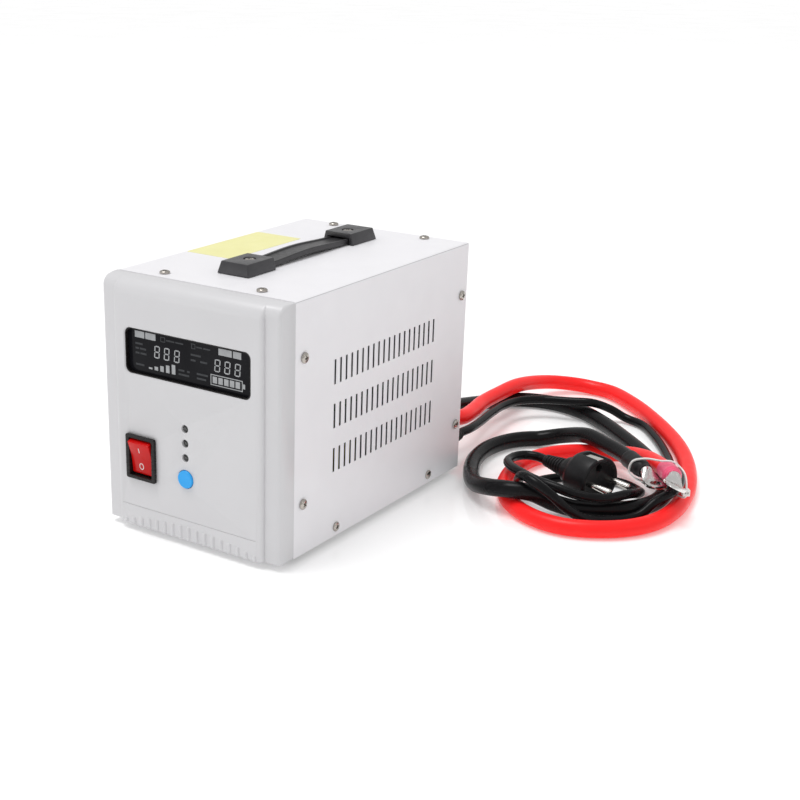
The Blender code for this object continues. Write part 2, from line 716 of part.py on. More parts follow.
def build_display():
    """Lens, display module, board, lamps and the button's switch."""
    lens_y = front_face + panel_raise + fit
    half_w = window_width / 2 + lens_lip
    half_h = window_height / 2 + lens_lip
    box("display_window", (-half_w, lens_y, window_middle_z - half_h),
        (half_w, lens_y + lens_thickness, window_middle_z + half_h), dark_lens)
    module_y = lens_y + lens_thickness + fit
    box("lcd_module", (-half_w + 0.004, module_y, window_middle_z - half_h + 0.002),
        (half_w - 0.004, board_front_y - fit, window_middle_z + half_h - 0.002), lcd_glass)
    board_half = half_h + board_margin
    board = box("display_board", (-half_w, board_front_y, window_middle_z - board_half),
                (half_w, board_front_y + board_thickness, window_middle_z + board_half), green_board)
    weld(board, box("display_board_tail", (controls_x - 0.016, board_front_y, button_height - 0.010),
                    (controls_x + 0.016, board_front_y + board_thickness, window_middle_z)))
    tip = board_front_y - fit - front_face - 0.0006
    lamp = [(0, tip), (lamp_radius * 0.6, tip - lamp_radius * 0.2), (lamp_radius, tip - lamp_radius * 0.9),
            (lamp_radius, 0.0012), (lamp_radius + 0.0004, 0.0012), (lamp_radius + 0.0004, 0), (0, 0)]
    for number, z in enumerate(lamp_heights, 1):
        turned(f"lamp_{number}", lamp, (controls_x, board_front_y - fit, z), (0, -1, 0), 12, lamp_plastic)
    switch_half = 0.006
    switch_depth = 0.0035
    box("tact_switch",
        (controls_x - switch_half, board_front_y - fit - switch_depth, button_height - switch_half),
        (controls_x + switch_half, board_front_y - fit, button_height + switch_half), black_plastic)
    inner_face = panel_raise + fit
    flange = 0.0012
    stem_end = board_front_y - fit - switch_depth - button_travel - 0.0005 - front_face
    cap = [(0, button_stands_out), (button_radius - 0.0008, button_stands_out),
           (button_radius, button_stands_out - 0.0006), (button_radius, -inner_face),
           (button_radius + 0.0014, -inner_face), (button_radius + 0.0014, -inner_face - flange),
           (0.0020, -inner_face - flange), (0.0020, -stem_end), (0, -stem_end)]
    turned("output_button", cap, (controls_x, front_face, button_height), (0, -1, 0), 20, blue_plastic)


def build_rocker():
    """Snap-in rocker switch, resting with its lower end pressed."""
    frame_front = front_face - fit - rocker_frame_thickness
    housing = box("rocker_housing",
                  (rocker_x - rocker_frame_width / 2, frame_front, rocker_z - rocker_frame_height / 2),
                  (rocker_x + rocker_frame_width / 2, front_face - fit, rocker_z + rocker_frame_height / 2),
                  black_plastic)
    half_w = rocker_body_width / 2
    half_h = rocker_body_height / 2
    weld(housing, box(
        "rocker_body",
        (rocker_x - half_w, front_face - fit - 0.0005, rocker_z - half_h),
        (rocker_x + half_w, front_face + rocker_body_depth, rocker_z + half_h)))
    cavity_w = rocker_body_width / 2 - rocker_wall
    cavity_h = rocker_body_height / 2 - rocker_wall / 2
    cut(housing, box("rocker_cavity", (rocker_x - cavity_w, -0.02, rocker_z - cavity_h),
                     (rocker_x + cavity_w, front_face + 0.0115, rocker_z + cavity_h)))
    reach = rocker_reach
    tip = rocker_crown
    profile = [(reach, -0.0035), (reach, tip - 0.0007), (reach - 0.0007, tip), (reach * 0.5, tip - 0.0009),
               (0, tip - 0.0012), (-reach * 0.5, tip - 0.0009), (-reach + 0.0007, tip), (-reach, tip - 0.0007),
               (-reach, -0.0035),
               (-0.0040, -0.0062), (0.0040, -0.0062)]
    rocker = outline("rocker_button", profile, cavity_w - rocker_play, red_lens)
    upright = Matrix(((0, 0, 1), (0, -1, 0), (1, 0, 0)))
    rocker.rotation_euler = (Matrix.Rotation(rocker_swing, 3, "X") @ upright).to_euler()
    rocker.location = (rocker_x, rocker_pivot_y, rocker_z)


# ---------------------------------------------------------------- handle
def build_handle():
    """Two end caps, a slightly arched strap with slotted ends, and the two screws."""
    top = cover_height + handle_cap_height
    half_cap = handle_cap_width / 2
    beyond = handle_cap_beyond_screw
    inward = handle_cap_length - beyond
    for fore, y, out in (("front", front_handle_screw, -1), ("rear", rear_handle_screw, 1)):
        near = y + out * beyond
        far = y - out * inward
        bm = bmesh.new()
        verts = add_box(bm, (-half_cap, min(near, far), cover_height + fit), (half_cap, max(near, far), top))
        for v in verts:
            if v.co.z > cover_height + handle_cap_height / 2:
                v.co.x -= math.copysign(handle_cap_taper, v.co.x)
                if (v.co.y - y) * out > 0:
                    v.co.y -= out * handle_cap_taper
        cap = mesh_object(f"handle_cap_{fore}", bm, grey_plastic)
        round_edges(cap, 0.0007, 1)
        stop = y + out * (strap_end_beyond_screw + strap_play + 0.0015)
        mouth = far - out * 0.01
        room = strap_width / 2 + 0.0006
        cavity = box(f"handle_cavity_{fore}", (-room, min(stop, mouth), cover_height - 0.001),
                     (room, max(stop, mouth), strap_bottom + strap_thickness + 0.0006))
        seat = top - 0.0019
        bore = rods(f"handle_bore_{fore}", [((0, y, cover_height), (0, y, top + 0.002))], 0.0023, 12)
        recess = rods(f"handle_recess_{fore}", [((0, y, seat), (0, y, top + 0.002))], 0.0043, 16)
        cut(cap, cavity, bore, recess)
        head = [(0, 0.0016), (0.0022, 0.0016), (0.0036, 0.0008), (0.0036, 0), (0.0014, 0), (0.0014, -0.0140),
                (0, -0.0140)]
        turned(f"handle_screw_{fore}", head, (0, y, seat + fit), (0, 0, 1), 12, nickel)

    start = front_handle_screw - strap_end_beyond_screw
    end = rear_handle_screw + strap_end_beyond_screw
    spans = 20
    bm = bmesh.new()
    bmesh.ops.create_grid(bm, x_segments=1, y_segments=spans, size=0.5)
    free = handle_screw_spacing / 2 - inward
    for v in bm.verts:
        y = start + (v.co.y + 0.5) * (end - start)
        off_middle = (y - handle_middle_y) / free
        rise = strap_arch * math.cos(off_middle * math.pi / 2) ** 2 if abs(off_middle) < 1 else 0.0
        v.co = (v.co.x * strap_width, y - handle_middle_y, rise)
    strap = mesh_object("handle_strap", bm, black_plastic, (0, handle_middle_y, strap_bottom))
    step = strap.modifiers.new("thickness", "SOLIDIFY")
    step.thickness = strap_thickness
    step.offset = -1.0
    slot_w = 0.0022
    slot_l = slot_w + strap_play + 0.0008
    bm = bmesh.new()
    for y in (front_handle_screw, rear_handle_screw):
        add_box(bm, (-slot_w, y - slot_l, cover_height - 0.001), (slot_w, y + slot_l, cover_height + 0.010))
    cut(strap, mesh_object("strap_slots", bm))


# ---------------------------------------------------------------- inside
def build_inside():
    """Transformer, power board with heatsinks and capacitors."""
    bottom = sheet + 2 * fit
    top = bottom + transformer_height
    r = 0.009
    ring = [(transformer_radius - r, top), (transformer_radius, top - r), (transformer_radius, bottom + r),
            (transformer_radius - r, bottom), (transformer_bore + r / 2, bottom),
            (transformer_bore, bottom + r),
            (transformer_bore, top - r), (transformer_bore + r / 2, top)]
    turned("toroidal_transformer", ring, (0, transformer_y, 0), (0, 0, 1), 28, tape, ring=True)
    disc = [(0.030, top + fit + 0.002), (0.030, top + fit), (0.0045, top + fit), (0.0045, top + fit + 0.002)]
    turned("transformer_washer", disc, (0, transformer_y, 0), (0, 0, 1), 20, zinc_steel, ring=True)
    under_head = top + 2 * fit + 0.002
    bolt = [(0, under_head + 0.005), (0.0065, under_head + 0.005), (0.0065, under_head), (0.004, under_head),
            (0.004, sheet + fit), (0, sheet + fit)]
    turned("transformer_bolt", bolt, (0, transformer_y, 0), (0, 0, 1), 6, zinc_steel)

    board_top = tier_height + board_thickness
    box("power_board", (-board_half_width, power_board_front, tier_height),
        (board_half_width, power_board_rear, board_top), green_board)
    fins = 5
    fin = 0.0018
    gap = 0.0048
    base = 0.004
    tall = 0.048
    width = fins * fin + (fins - 1) * gap
    profile = [(0, 0), (width, 0)]
    for i in range(fins):
        right = width - i * (fin + gap)
        profile += [(right, tall), (right - fin, tall)]
        if i < fins - 1:
            profile += [(right - fin, base), (right - fin - gap, base)]
    outer = board_half_width - heatsink_inset
    middle = (power_board_front + power_board_rear) / 2
    for word, x in (("left", -outer), ("right", outer - width)):
        sink = outline(f"heatsink_{word}", profile, heatsink_length / 2, alloy)
        sink.rotation_euler = facing_front
        sink.location = (x, middle, board_top + fit)
    can = [(0, 0.036), (0.0115, 0.036), (0.0125, 0.035), (0.0125, 0), (0, 0)]
    for number, y in ((1, middle - 0.0400), (2, middle - 0.0050)):
        turned(f"capacitor_{number}", can, (0, y, board_top + fit), (0, 0, 1), 14, cap_sleeve)


# ---------------------------------------------------------------- rear
def build_fan():
    """Axial fan behind the rear panel, with a wire guard outside."""
    back = panel_face - sheet - fit
    front = back - fan_depth
    half = fan_size / 2
    fan = box("fan_frame", (fan_x - half, front, fan_z - half), (fan_x + half, back, fan_z + half),
              black_plastic)
    cut(fan, rods("fan_bore", [((fan_x, front - 0.01, fan_z), (fan_x, back + 0.01, fan_z))], fan_bore, 28))
    motor_plate = 0.003
    weld(fan, rods("fan_motor_plate", [((fan_x, back - motor_plate, fan_z), (fan_x, back, fan_z))],
                   fan_hub - 0.001, 16))
    for i in range(3):
        arm = box(f"fan_arm_{i + 1}", (-0.002, -motor_plate, 0.010), (0.002, 0, fan_bore + 0.001))
        arm.location = (fan_x, back, fan_z)
        arm.rotation_euler = (0, math.radians(120 * i + 60), 0)
        weld(fan, arm)

    middle = (front + back - motor_plate) / 2
    hub_half = (fan_depth - motor_plate) / 2 - 0.0012
    hub = [(0, hub_half), (fan_hub - 0.001, hub_half), (fan_hub, hub_half - 0.001), (fan_hub, -hub_half),
           (0, -hub_half)]
    rotor = turned("fan_rotor", hub, (fan_x, middle, fan_z), (0, -1, 0), 21, black_plastic)
    blades = 7
    for i in range(blades):
        bm = bmesh.new()
        add_box(bm, (-0.0007, -0.0085, fan_hub - 0.002), (0.0007, 0.0085, fan_blade_tip))
        for v in bm.verts:
            twist = math.radians(52 if v.co.z < 0.02 else 34)
            v.co = Matrix.Rotation(twist, 3, "Z") @ v.co
            v.co.y = max(-hub_half + 0.0004, min(hub_half - 0.0004, v.co.y))
        blade = mesh_object(f"fan_blade_{i + 1}", bm)
        blade.location = (fan_x, middle, fan_z)
        blade.rotation_euler = (0, 2 * math.pi * i / blades, 0)
        weld(rotor, blade)

    wire = 0.0010
    ring_y = panel_face + fit + wire
    rings = (0.014, 0.022, 0.030, 0.038)
    square = [(wire, wire), (wire, -wire), (-wire, -wire), (-wire, wire)]
    guard = None
    for i, radius in enumerate(rings):
        profile = [(radius + a, b) for a, b in square]
        name = "fan_guard" if guard is None else f"guard_ring_{i + 1}"
        ring = turned(name, profile, (fan_x, ring_y, fan_z), (0, 1, 0), 24, nickel if guard is None else None,
                      ring=True)
        guard = guard or ring
    bm = bmesh.new()
    long = rings[-1] + 0.0005
    add_box(bm, (-long, -0.0008, -0.0008), (long, 0.0008, 0.0008))
    bars = mesh_object("guard_bar_1", bm)
    bm = bmesh.new()
    add_box(bm, (-0.0008, -0.0007, -long), (0.0008, 0.0007, long))
    weld(bars, mesh_object("guard_bar_2", bm))
    for bar in (bars, bpy.data.objects["guard_bar_2"]):
        bar.location = (fan_x, ring_y, fan_z)
        bar.rotation_euler = (0, math.radians(45), 0)
    weld(guard, bars, *[bpy.data.objects[f"guard_ring_{i + 1}"] for i in range(1, len(rings))])


def build_outlet():
    """Round-cup mains outlet with an earth pin, and the push-to-reset breaker under it."""
    plate_back = panel_face + fit
    plate_front = plate_back + outlet_plate_thickness
    half = outlet_plate / 2
    outlet = box("ac_outlet", (outlet_x - half, plate_back, outlet_z - half),
                 (outlet_x + half, plate_front, outlet_z + half), black_plastic)
    round_edges(outlet, 0.0012, 2)
    floor = plate_front - outlet_cup_depth
    def along_y(name, x, z, start, end, radius, segments):
        return rods(name, [((outlet_x + x, start, outlet_z + z), (outlet_x + x, end, outlet_z + z))],
                    radius, segments)

    weld(outlet, along_y("outlet_body", 0, 0, floor - 0.006, plate_back + 0.001, outlet_body, 24))
    cut(outlet, along_y("outlet_cup", 0, 0, floor, plate_front + 0.01, outlet_cup, 24))
    for word, x in (("left", -plug_pin_spacing / 2), ("right", plug_pin_spacing / 2)):
        cut(outlet, along_y(f"outlet_socket_{word}", x, 0, floor - 0.004, floor + 0.004,
                            plug_pin_radius + 0.0002, 10))
    weld(outlet, along_y("outlet_earth_pin", 0, 0.010, floor - 0.002, floor + 0.014, plug_pin_radius, 10))

    inner = panel_face - sheet - fit
    body = box("breaker_body", (breaker_x - 0.007, inner - 0.028, breaker_z - 0.015),
               (breaker_x + 0.007, inner, breaker_z + 0.015), black_plastic)
    neck_end = panel_face + 0.0042
    bore_floor = inner + 0.0003
    neck = [((breaker_x, inner - 0.002, breaker_z), (breaker_x, neck_end, breaker_z))]
    weld(body, rods("breaker_neck", neck, breaker_neck, 14))
    bore = [((breaker_x, bore_floor, breaker_z), (breaker_x, neck_end + 0.01, breaker_z))]
    cut(body, rods("breaker_bore", bore, breaker_button_radius + control_gap, 12))
    long = breaker_end - bore_floor - fit
    push = [(0, long), (breaker_button_radius - 0.0005, long), (breaker_button_radius, long - 0.0005),
            (breaker_button_radius, 0), (0, 0)]
    turned("breaker_button", push, (breaker_x, bore_floor + fit, breaker_z), (0, 1, 0), 12, white_plastic)


def build_grommets():
    """Grommets of the battery leads and the tapered boot of the mains lead."""
    inner = sheet + fit
    tail = -inner - 0.004
    neck = grommet_neck
    battery = [(0, battery_grommet_length), (battery_lead_radius + 0.0007, battery_grommet_length),
               (neck + 0.0006, 0.0033), (neck + 0.0021, 0.0031), (neck + 0.0021, fit), (neck, fit),
               (neck, -inner), (neck + 0.0018, -inner), (neck + 0.0018, tail), (0, tail)]
    for word, (x, z) in (("red", red_exit), ("black", black_exit)):
        turned(f"{word}_grommet", battery, (x, panel_face, z), (0, 1, 0), 14, rubber)
    neck = boot_neck
    boot = [(0, mains_boot_length), (mains_lead_radius + 0.0011, mains_boot_length), (neck + 0.0004, 0.0032),
            (neck + 0.0022, 0.0030), (neck + 0.0022, fit), (neck, fit), (neck, -inner),
            (neck + 0.0018, -inner), (neck + 0.0018, tail), (0, tail)]
    turned("mains_boot", boot, (mains_exit[0], panel_face, mains_exit[1]), (0, 1, 0), 14, rubber)


# ---------------------------------------------------------------- leads
def build_lug(name, end, before, roll):
    """Crimp lug: a barrel face to face with the lead's end, and a flat palm with a hole."""
    along = (end - before).normalized()
    start = end + along * fit
    turn = along.to_track_quat("X", "Z").to_matrix() @ Matrix.Rotation(roll, 3, "X")
    barrel = 0.011
    radius = 0.0047
    palm_width = 0.0155
    palm_length = 0.0190
    bm = bmesh.new()
    add_rod(bm, (0, 0, 0), (barrel, 0, 0), radius, 12)
    lug = mesh_object(name, bm, tinned)
    bm = bmesh.new()
    verts = add_box(bm, (barrel - 0.003, -palm_width / 2, -radius),
                    (barrel + palm_length, palm_width / 2, -radius + 0.0022))
    for v in verts:
        if v.co.x < barrel:
            v.co.y *= 0.5
    palm = mesh_object(name + "_palm", bm)
    centre = barrel + palm_length - palm_width / 2
    hole = rods(name + "_hole", [((centre, 0, -0.01), (centre, 0, 0.01))], lug_hole, 14)
    weld(lug, palm)
    cut(lug, hole)
    for piece in (lug, palm, hole):
        piece.location = start
        piece.rotation_euler = turn.to_euler()


def build_plug(end, direction):
    """Round mains plug on the end of the mains lead, with two pins."""
    start = end + direction * 2 * fit
    relief = 0.022
    neck = 0.028
    face = 0.054
    profile = [(0, face), (plug_radius - 0.001, face), (plug_radius, face - 0.001),
               (plug_radius, neck + 0.006), (plug_radius - 0.004, neck + 0.001), (0.0095, neck),
               (0.0090, relief), (0.0070, relief - 0.001), (mains_lead_radius + 0.0011, 0), (0, 0)]
    plug = turned("mains_plug", profile, start, direction, 20, black_plastic)
    side = direction.cross(Vector((0, 0, 1))).normalized()
    pins = []
    for off in (-plug_pin_spacing / 2, plug_pin_spacing / 2):
        foot = start + direction * (face - 0.003) + side * off
        pins.append((foot, start + direction * (face + 0.019) + side * off))
    weld(plug, rods("plug_pins", pins, plug_pin_radius, 10))


def build_leads():
    """The three leads and what is on their ends."""
    red = lead("red_battery_lead", red_route, battery_lead_radius, red_pvc)
    black = lead("black_battery_lead", black_route, battery_lead_radius, black_pvc)
    mains = lead("mains_lead", mains_route, mains_lead_radius, black_pvc)
    build_lug("red_lug", red[-1], red[-2], math.radians(-25))
    build_lug("black_lug", black[-1], black[-2], math.radians(0))
    build_plug(mains[-1], Vector((math.cos(plug_turn), math.sin(plug_turn), 0)))
    lead("cable_tie", tie_route, 0.0005, nylon, closed=True, points_per_metre=320)


build_cover()
build_sheets()
build_screws()
build_feet()
build_bezel()
build_display()
build_rocker()
build_handle()
build_inside()
build_fan()
build_outlet()
build_grommets()
build_leads()
bpy.context.view_layer.update()
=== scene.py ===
import math
import bmesh
import bpy
from mathutils import Matrix, Vector


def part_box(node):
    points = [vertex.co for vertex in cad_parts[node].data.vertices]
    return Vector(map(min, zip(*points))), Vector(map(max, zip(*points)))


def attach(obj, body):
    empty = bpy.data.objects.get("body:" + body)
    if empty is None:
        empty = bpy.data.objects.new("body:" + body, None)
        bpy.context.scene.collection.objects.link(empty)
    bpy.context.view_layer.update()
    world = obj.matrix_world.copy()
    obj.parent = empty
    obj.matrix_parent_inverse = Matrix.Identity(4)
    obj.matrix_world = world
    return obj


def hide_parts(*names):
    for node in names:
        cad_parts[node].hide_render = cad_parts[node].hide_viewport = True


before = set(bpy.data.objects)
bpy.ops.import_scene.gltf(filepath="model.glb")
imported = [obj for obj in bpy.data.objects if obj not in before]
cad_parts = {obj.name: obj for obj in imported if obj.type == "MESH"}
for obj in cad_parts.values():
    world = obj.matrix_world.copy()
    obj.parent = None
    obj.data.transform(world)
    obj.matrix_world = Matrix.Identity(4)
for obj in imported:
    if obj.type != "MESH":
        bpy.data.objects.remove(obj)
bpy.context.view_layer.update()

# The case's own frame: middle of the width, front wing face, lower edge of the cover
bezelDepth = 0.0158
coverLow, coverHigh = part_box("top_cover")
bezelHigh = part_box("front_bezel")[1]
caseOrigin = Vector((0, bezelHigh.y - bezelDepth, coverLow.z))
coverTop = coverHigh.z
panelRaise = 0.0030      # raised middle panel of the front


# Camera
view = {
    "place": (0.5762, -0.8131, 0.4013),
    "yaw": 36.19,
    "pitch": 20.83,
    "roll": 0.28,
    "lens": 65.63,
    "shift": (0.155, 0.0796),
}


def makeCamera(settings):
    yaw = math.radians(settings["yaw"])
    pitch = math.radians(settings["pitch"])
    roll = math.radians(settings["roll"])
    back = Vector((math.sin(yaw) * math.cos(pitch), -math.cos(yaw) * math.cos(pitch), math.sin(pitch)))
    side = (-back).cross(Vector((0, 0, 1))).normalized()
    rise = side.cross(-back)
    right = math.cos(roll) * side + math.sin(roll) * rise
    up = -math.sin(roll) * side + math.cos(roll) * rise
    data = bpy.data.cameras.new("productCamera")
    data.lens = settings["lens"]
    data.shift_x, data.shift_y = settings["shift"]
    camera = bpy.data.objects.new("productCamera", data)
    bpy.context.scene.collection.objects.link(camera)
    turn = Matrix((right, up, back)).transposed().to_4x4()
    camera.matrix_world = Matrix.Translation(settings["place"]) @ turn
    bpy.context.scene.camera = camera


makeCamera(view)
print("camera set")


# Materials
def link(tree, output, socket):
    tree.links.new(output, socket)


def addNode(tree, kind, **values):
    node = tree.nodes.new(kind)
    for key, value in values.items():
        if key in node.inputs:
            node.inputs[key].default_value = value
        else:
            setattr(node, key, value)
    return node


def noiseNode(tree, place, scale, detail=3.0, stretch=(1, 1, 1)):
    mapping = addNode(tree, "ShaderNodeMapping")
    mapping.inputs["Scale"].default_value = stretch
    link(tree, place, mapping.inputs["Vector"])
    noise = addNode(tree, "ShaderNodeTexNoise", Scale=scale, Detail=detail)
    link(tree, mapping.outputs["Vector"], noise.inputs["Vector"])
    return noise.outputs["Fac"]


def spread(tree, value, low, high, start=0.3, end=0.7):
    node = addNode(tree, "ShaderNodeMapRange")
    node.inputs["From Min"].default_value = start
    node.inputs["From Max"].default_value = end
    node.inputs["To Min"].default_value = low
    node.inputs["To Max"].default_value = high
    link(tree, value, node.inputs["Value"])
    return node.outputs["Result"]


def blendColors(tree, factor, first, second):
    ramp = addNode(tree, "ShaderNodeValToRGB")
    ramp.color_ramp.elements[0].color = (*first, 1)
    ramp.color_ramp.elements[1].color = (*second, 1)
    link(tree, factor, ramp.inputs["Fac"])
    return ramp.outputs["Color"]


# One finish: two close colours mottled together, a roughness range and a fine grain in the surface.
def makeFinish(name, color, other=None, roughness=(0.4, 0.5), mottle=60, grain=2500, bump=0.02,
               grainDepth=0.0002, stretch=(1, 1, 1), dust=0.0, **sockets):
    material = bpy.data.materials.new(name)
    material.use_nodes = True
    tree = material.node_tree
    shader = tree.nodes["Principled BSDF"]
    place = addNode(tree, "ShaderNodeTexCoord").outputs["Object"]
    patches = noiseNode(tree, place, mottle, 4.0, stretch)
    color = tuple(color)
    other = tuple(other) if other else tuple(0.9 * c for c in color)
    mixed = blendColors(tree, spread(tree, patches, 0.0, 1.0), color, other)
    if dust:
        up = addNode(tree, "ShaderNodeSeparateXYZ")
        link(tree, addNode(tree, "ShaderNodeNewGeometry").outputs["Normal"], up.inputs["Vector"])
        layer = addNode(tree, "ShaderNodeMix", data_type="RGBA")
        layer.inputs[7].default_value = (0.45, 0.44, 0.43, 1)
        link(tree, spread(tree, up.outputs["Z"], 0.0, dust, 0.5, 1.0), layer.inputs[0])
        link(tree, mixed, layer.inputs[6])
        mixed = layer.outputs[2]
    link(tree, mixed, shader.inputs["Base Color"])
    link(tree, spread(tree, noiseNode(tree, place, mottle * 3, 3.0, stretch), *roughness),
         shader.inputs["Roughness"])
    fine = noiseNode(tree, place, grain, 2.0, stretch)
    bumpNode = addNode(tree, "ShaderNodeBump", Strength=bump, Distance=grainDepth)
    link(tree, fine, bumpNode.inputs["Height"])
    link(tree, bumpNode.outputs["Normal"], shader.inputs["Normal"])
    for key, value in sockets.items():
        shader.inputs[key.replace("_", " ")].default_value = value
    return material


whitePaint = dict(color=(0.87, 0.86, 0.885), other=(0.85, 0.84, 0.865), roughness=(0.38, 0.48), mottle=40,
                  grain=1600, bump=0.10, grainDepth=0.0004, Specular_IOR_Level=0.4)
finishes = {
    "powderCoat": whitePaint,      # the cover, whose inside gets painted shade below
    "panelPlastic": dict(color=(0.665, 0.66, 0.675), other=(0.65, 0.645, 0.66), roughness=(0.30, 0.38),
                         mottle=30, grain=3200, bump=0.08, grainDepth=0.0003, Specular_IOR_Level=0.45),
    "rearPaint": whitePaint,
    "zincSteel": dict(color=(0.54, 0.55, 0.56), other=(0.59, 0.59, 0.585), roughness=(0.30, 0.40), mottle=140,
                      grain=900, bump=0.04, Metallic=1.0),
    "nickelPlate": dict(color=(0.50, 0.47, 0.43), other=(0.40, 0.37, 0.34), roughness=(0.16, 0.30),
                        mottle=400, grain=4000, bump=0.05, Metallic=1.0),
    "displayAcrylic": dict(color=(0.007, 0.007, 0.009), other=(0.010, 0.010, 0.012), roughness=(0.05, 0.09),
                           mottle=50, grain=800, bump=0.004, Specular_IOR_Level=0.07),
    "lcdSegment": dict(color=(0.44, 0.45, 0.46), other=(0.36, 0.37, 0.38), roughness=(0.3, 0.4), mottle=200,
                       grain=3000, bump=0.01, Specular_IOR_Level=0.2),
    "lcdDim": dict(color=(0.055, 0.057, 0.062), other=(0.040, 0.042, 0.046), roughness=(0.3, 0.4), mottle=200,
                   grain=3000, bump=0.01, Specular_IOR_Level=0.15),
    "lcdBody": dict(color=(0.02, 0.02, 0.025), roughness=(0.3, 0.4)),
    "circuitBoard": dict(color=(0.015, 0.11, 0.04), other=(0.02, 0.16, 0.06), roughness=(0.3, 0.45),
                         mottle=300, grain=1500, bump=0.1),
    "blackPlastic": dict(color=(0.009, 0.009, 0.010), other=(0.014, 0.014, 0.015), roughness=(0.30, 0.44),
                         mottle=120, grain=3500, bump=0.12, grainDepth=0.0003, Specular_IOR_Level=0.22),
    "switchPlastic": dict(color=(0.009, 0.008, 0.008), other=(0.015, 0.013, 0.013), roughness=(0.22, 0.32),
                          mottle=120, grain=3500, bump=0.04, Specular_IOR_Level=0.22),
    "handlePlastic": dict(color=(0.034, 0.033, 0.037), other=(0.044, 0.043, 0.047), roughness=(0.28, 0.38),
                          mottle=90, grain=2600, bump=0.22, grainDepth=0.0004, dust=0.02),
    "strapPlastic": dict(color=(0.020, 0.019, 0.021), other=(0.028, 0.027, 0.030), roughness=(0.28, 0.40),
                         mottle=90, grain=2400, bump=0.16, grainDepth=0.0004, dust=0.03),
    "redRocker": dict(color=(0.62, 0.004, 0.004), other=(0.52, 0.003, 0.003), roughness=(0.12, 0.2),
                      mottle=60, grain=900, bump=0.01, Specular_IOR_Level=0.2, Subsurface_Weight=0.1,
                      Subsurface_Radius=(0.004, 0.0008, 0.0006), Subsurface_Scale=1.0),
    "whiteMark": dict(color=(0.85, 0.83, 0.82), roughness=(0.35, 0.45), grain=3000),
    "blueButton": dict(color=(0.035, 0.42, 0.93), other=(0.03, 0.38, 0.88), roughness=(0.3, 0.4), mottle=90,
                       grain=2500, bump=0.05, Specular_IOR_Level=0.3),
    "lampLens": dict(color=(0.018, 0.022, 0.018), other=(0.010, 0.012, 0.010), roughness=(0.06, 0.12),
                     mottle=200, grain=1200, bump=0.01, Coat_Weight=0.6, Coat_Roughness=0.04),
    "softRubber": dict(color=(0.020, 0.020, 0.020), other=(0.032, 0.032, 0.032), roughness=(0.62, 0.78),
                       mottle=150, grain=1800, bump=0.2),
    "redPvc": dict(color=(1.0, 0.018, 0.018), other=(0.96, 0.013, 0.014), roughness=(0.28, 0.38), mottle=45,
                   grain=700, bump=0.015, grainDepth=0.0001, Specular_IOR_Level=0.25,
                   # painted glow: a faint red emission brightens the cable, though it is no lamp
                   Emission_Color=(1, 0.02, 0.02, 1),
                   Emission_Strength=0.06, Subsurface_Weight=0.08, Subsurface_Radius=(0.003, 0.0006, 0.0005),
                   Subsurface_Scale=1.0),
    "blackPvc": dict(color=(0.005, 0.005, 0.0055), other=(0.008, 0.008, 0.009), roughness=(0.20, 0.30),
                     mottle=45, grain=700, bump=0.015, grainDepth=0.0001, Specular_IOR_Level=0.13),
    "pinkShrink": dict(color=(0.82, 0.07, 0.17), other=(0.90, 0.10, 0.22), roughness=(0.32, 0.45), mottle=120,
                       grain=900, bump=0.15),
    "blackShrink": dict(color=(0.010, 0.010, 0.011), other=(0.016, 0.016, 0.017), roughness=(0.4, 0.55),
                        mottle=120, grain=900, bump=0.2, Specular_IOR_Level=0.25),
    "tinPlate": dict(color=(0.80, 0.79, 0.77), other=(0.68, 0.67, 0.66), roughness=(0.14, 0.30), mottle=180,
                     grain=1500, bump=0.08, Metallic=1.0),
    "brightNickel": dict(color=(0.74, 0.72, 0.68), other=(0.66, 0.64, 0.60), roughness=(0.10, 0.2),
                         mottle=200, grain=2500, bump=0.02, Metallic=1.0),
    "whiteNylon": dict(color=(0.82, 0.82, 0.80), other=(0.76, 0.76, 0.74), roughness=(0.3, 0.4), mottle=200,
                       grain=1500, bump=0.03, Subsurface_Weight=0.2, Subsurface_Radius=(0.002, 0.002, 0.002),
                       Subsurface_Scale=1.0),
    "windingTape": dict(color=(0.60, 0.42, 0.05), other=(0.50, 0.33, 0.04), roughness=(0.22, 0.4), mottle=60,
                        grain=260, bump=0.5, grainDepth=0.001, stretch=(1, 1, 0.12)),
    "extrudedAlloy": dict(color=(0.62, 0.62, 0.63), other=(0.54, 0.54, 0.55), roughness=(0.3, 0.45),
                          mottle=120, grain=2200, bump=0.1, stretch=(1, 0.05, 1), Metallic=1.0),
    "capacitorSleeve": dict(color=(0.012, 0.02, 0.07), other=(0.016, 0.028, 0.09), roughness=(0.22, 0.32)),
    "yellowLabel": dict(color=(0.90, 0.87, 0.42), other=(0.86, 0.83, 0.38), roughness=(0.35, 0.45), mottle=70,
                        grain=1800, bump=0.03),
    "whitePlastic": dict(color=(0.72, 0.72, 0.70), roughness=(0.3, 0.4), grain=2500),
}
materials = {name: makeFinish(name, **values) for name, values in finishes.items()}
print("materials made:", len(materials))


# Mesh helpers
def addObject(name, mesh, finish, body="case", replaces=(), place=None):
    piece = bpy.data.objects.new(name, mesh)
    bpy.context.scene.collection.objects.link(piece)
    if place:
        piece.matrix_world = place
    if finish:
        piece.data.materials.clear()
        piece.data.materials.append(materials[finish])
        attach(piece, body)
    if replaces:
        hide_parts(*replaces)
    return piece


# A closed skin through rings of points, with flat ends unless the rings run in a circle.
def loft(rings, closed=False):
    form = bmesh.new()
    rows = [[form.verts.new(p) for p in ring] for ring in rings]
    pairs = list(zip(rows, rows[1:]))
    if closed:
        pairs.append((rows[-1], rows[0]))
    for first, second in pairs:
        count = len(first)
        for i in range(count):
            j = (i + 1) % count
            form.faces.new((first[i], first[j], second[j], second[i]))
    if not closed:
        form.faces.new(rows[0][::-1])
        form.faces.new(rows[-1])
    bmesh.ops.recalc_face_normals(form, faces=form.faces)
    return form


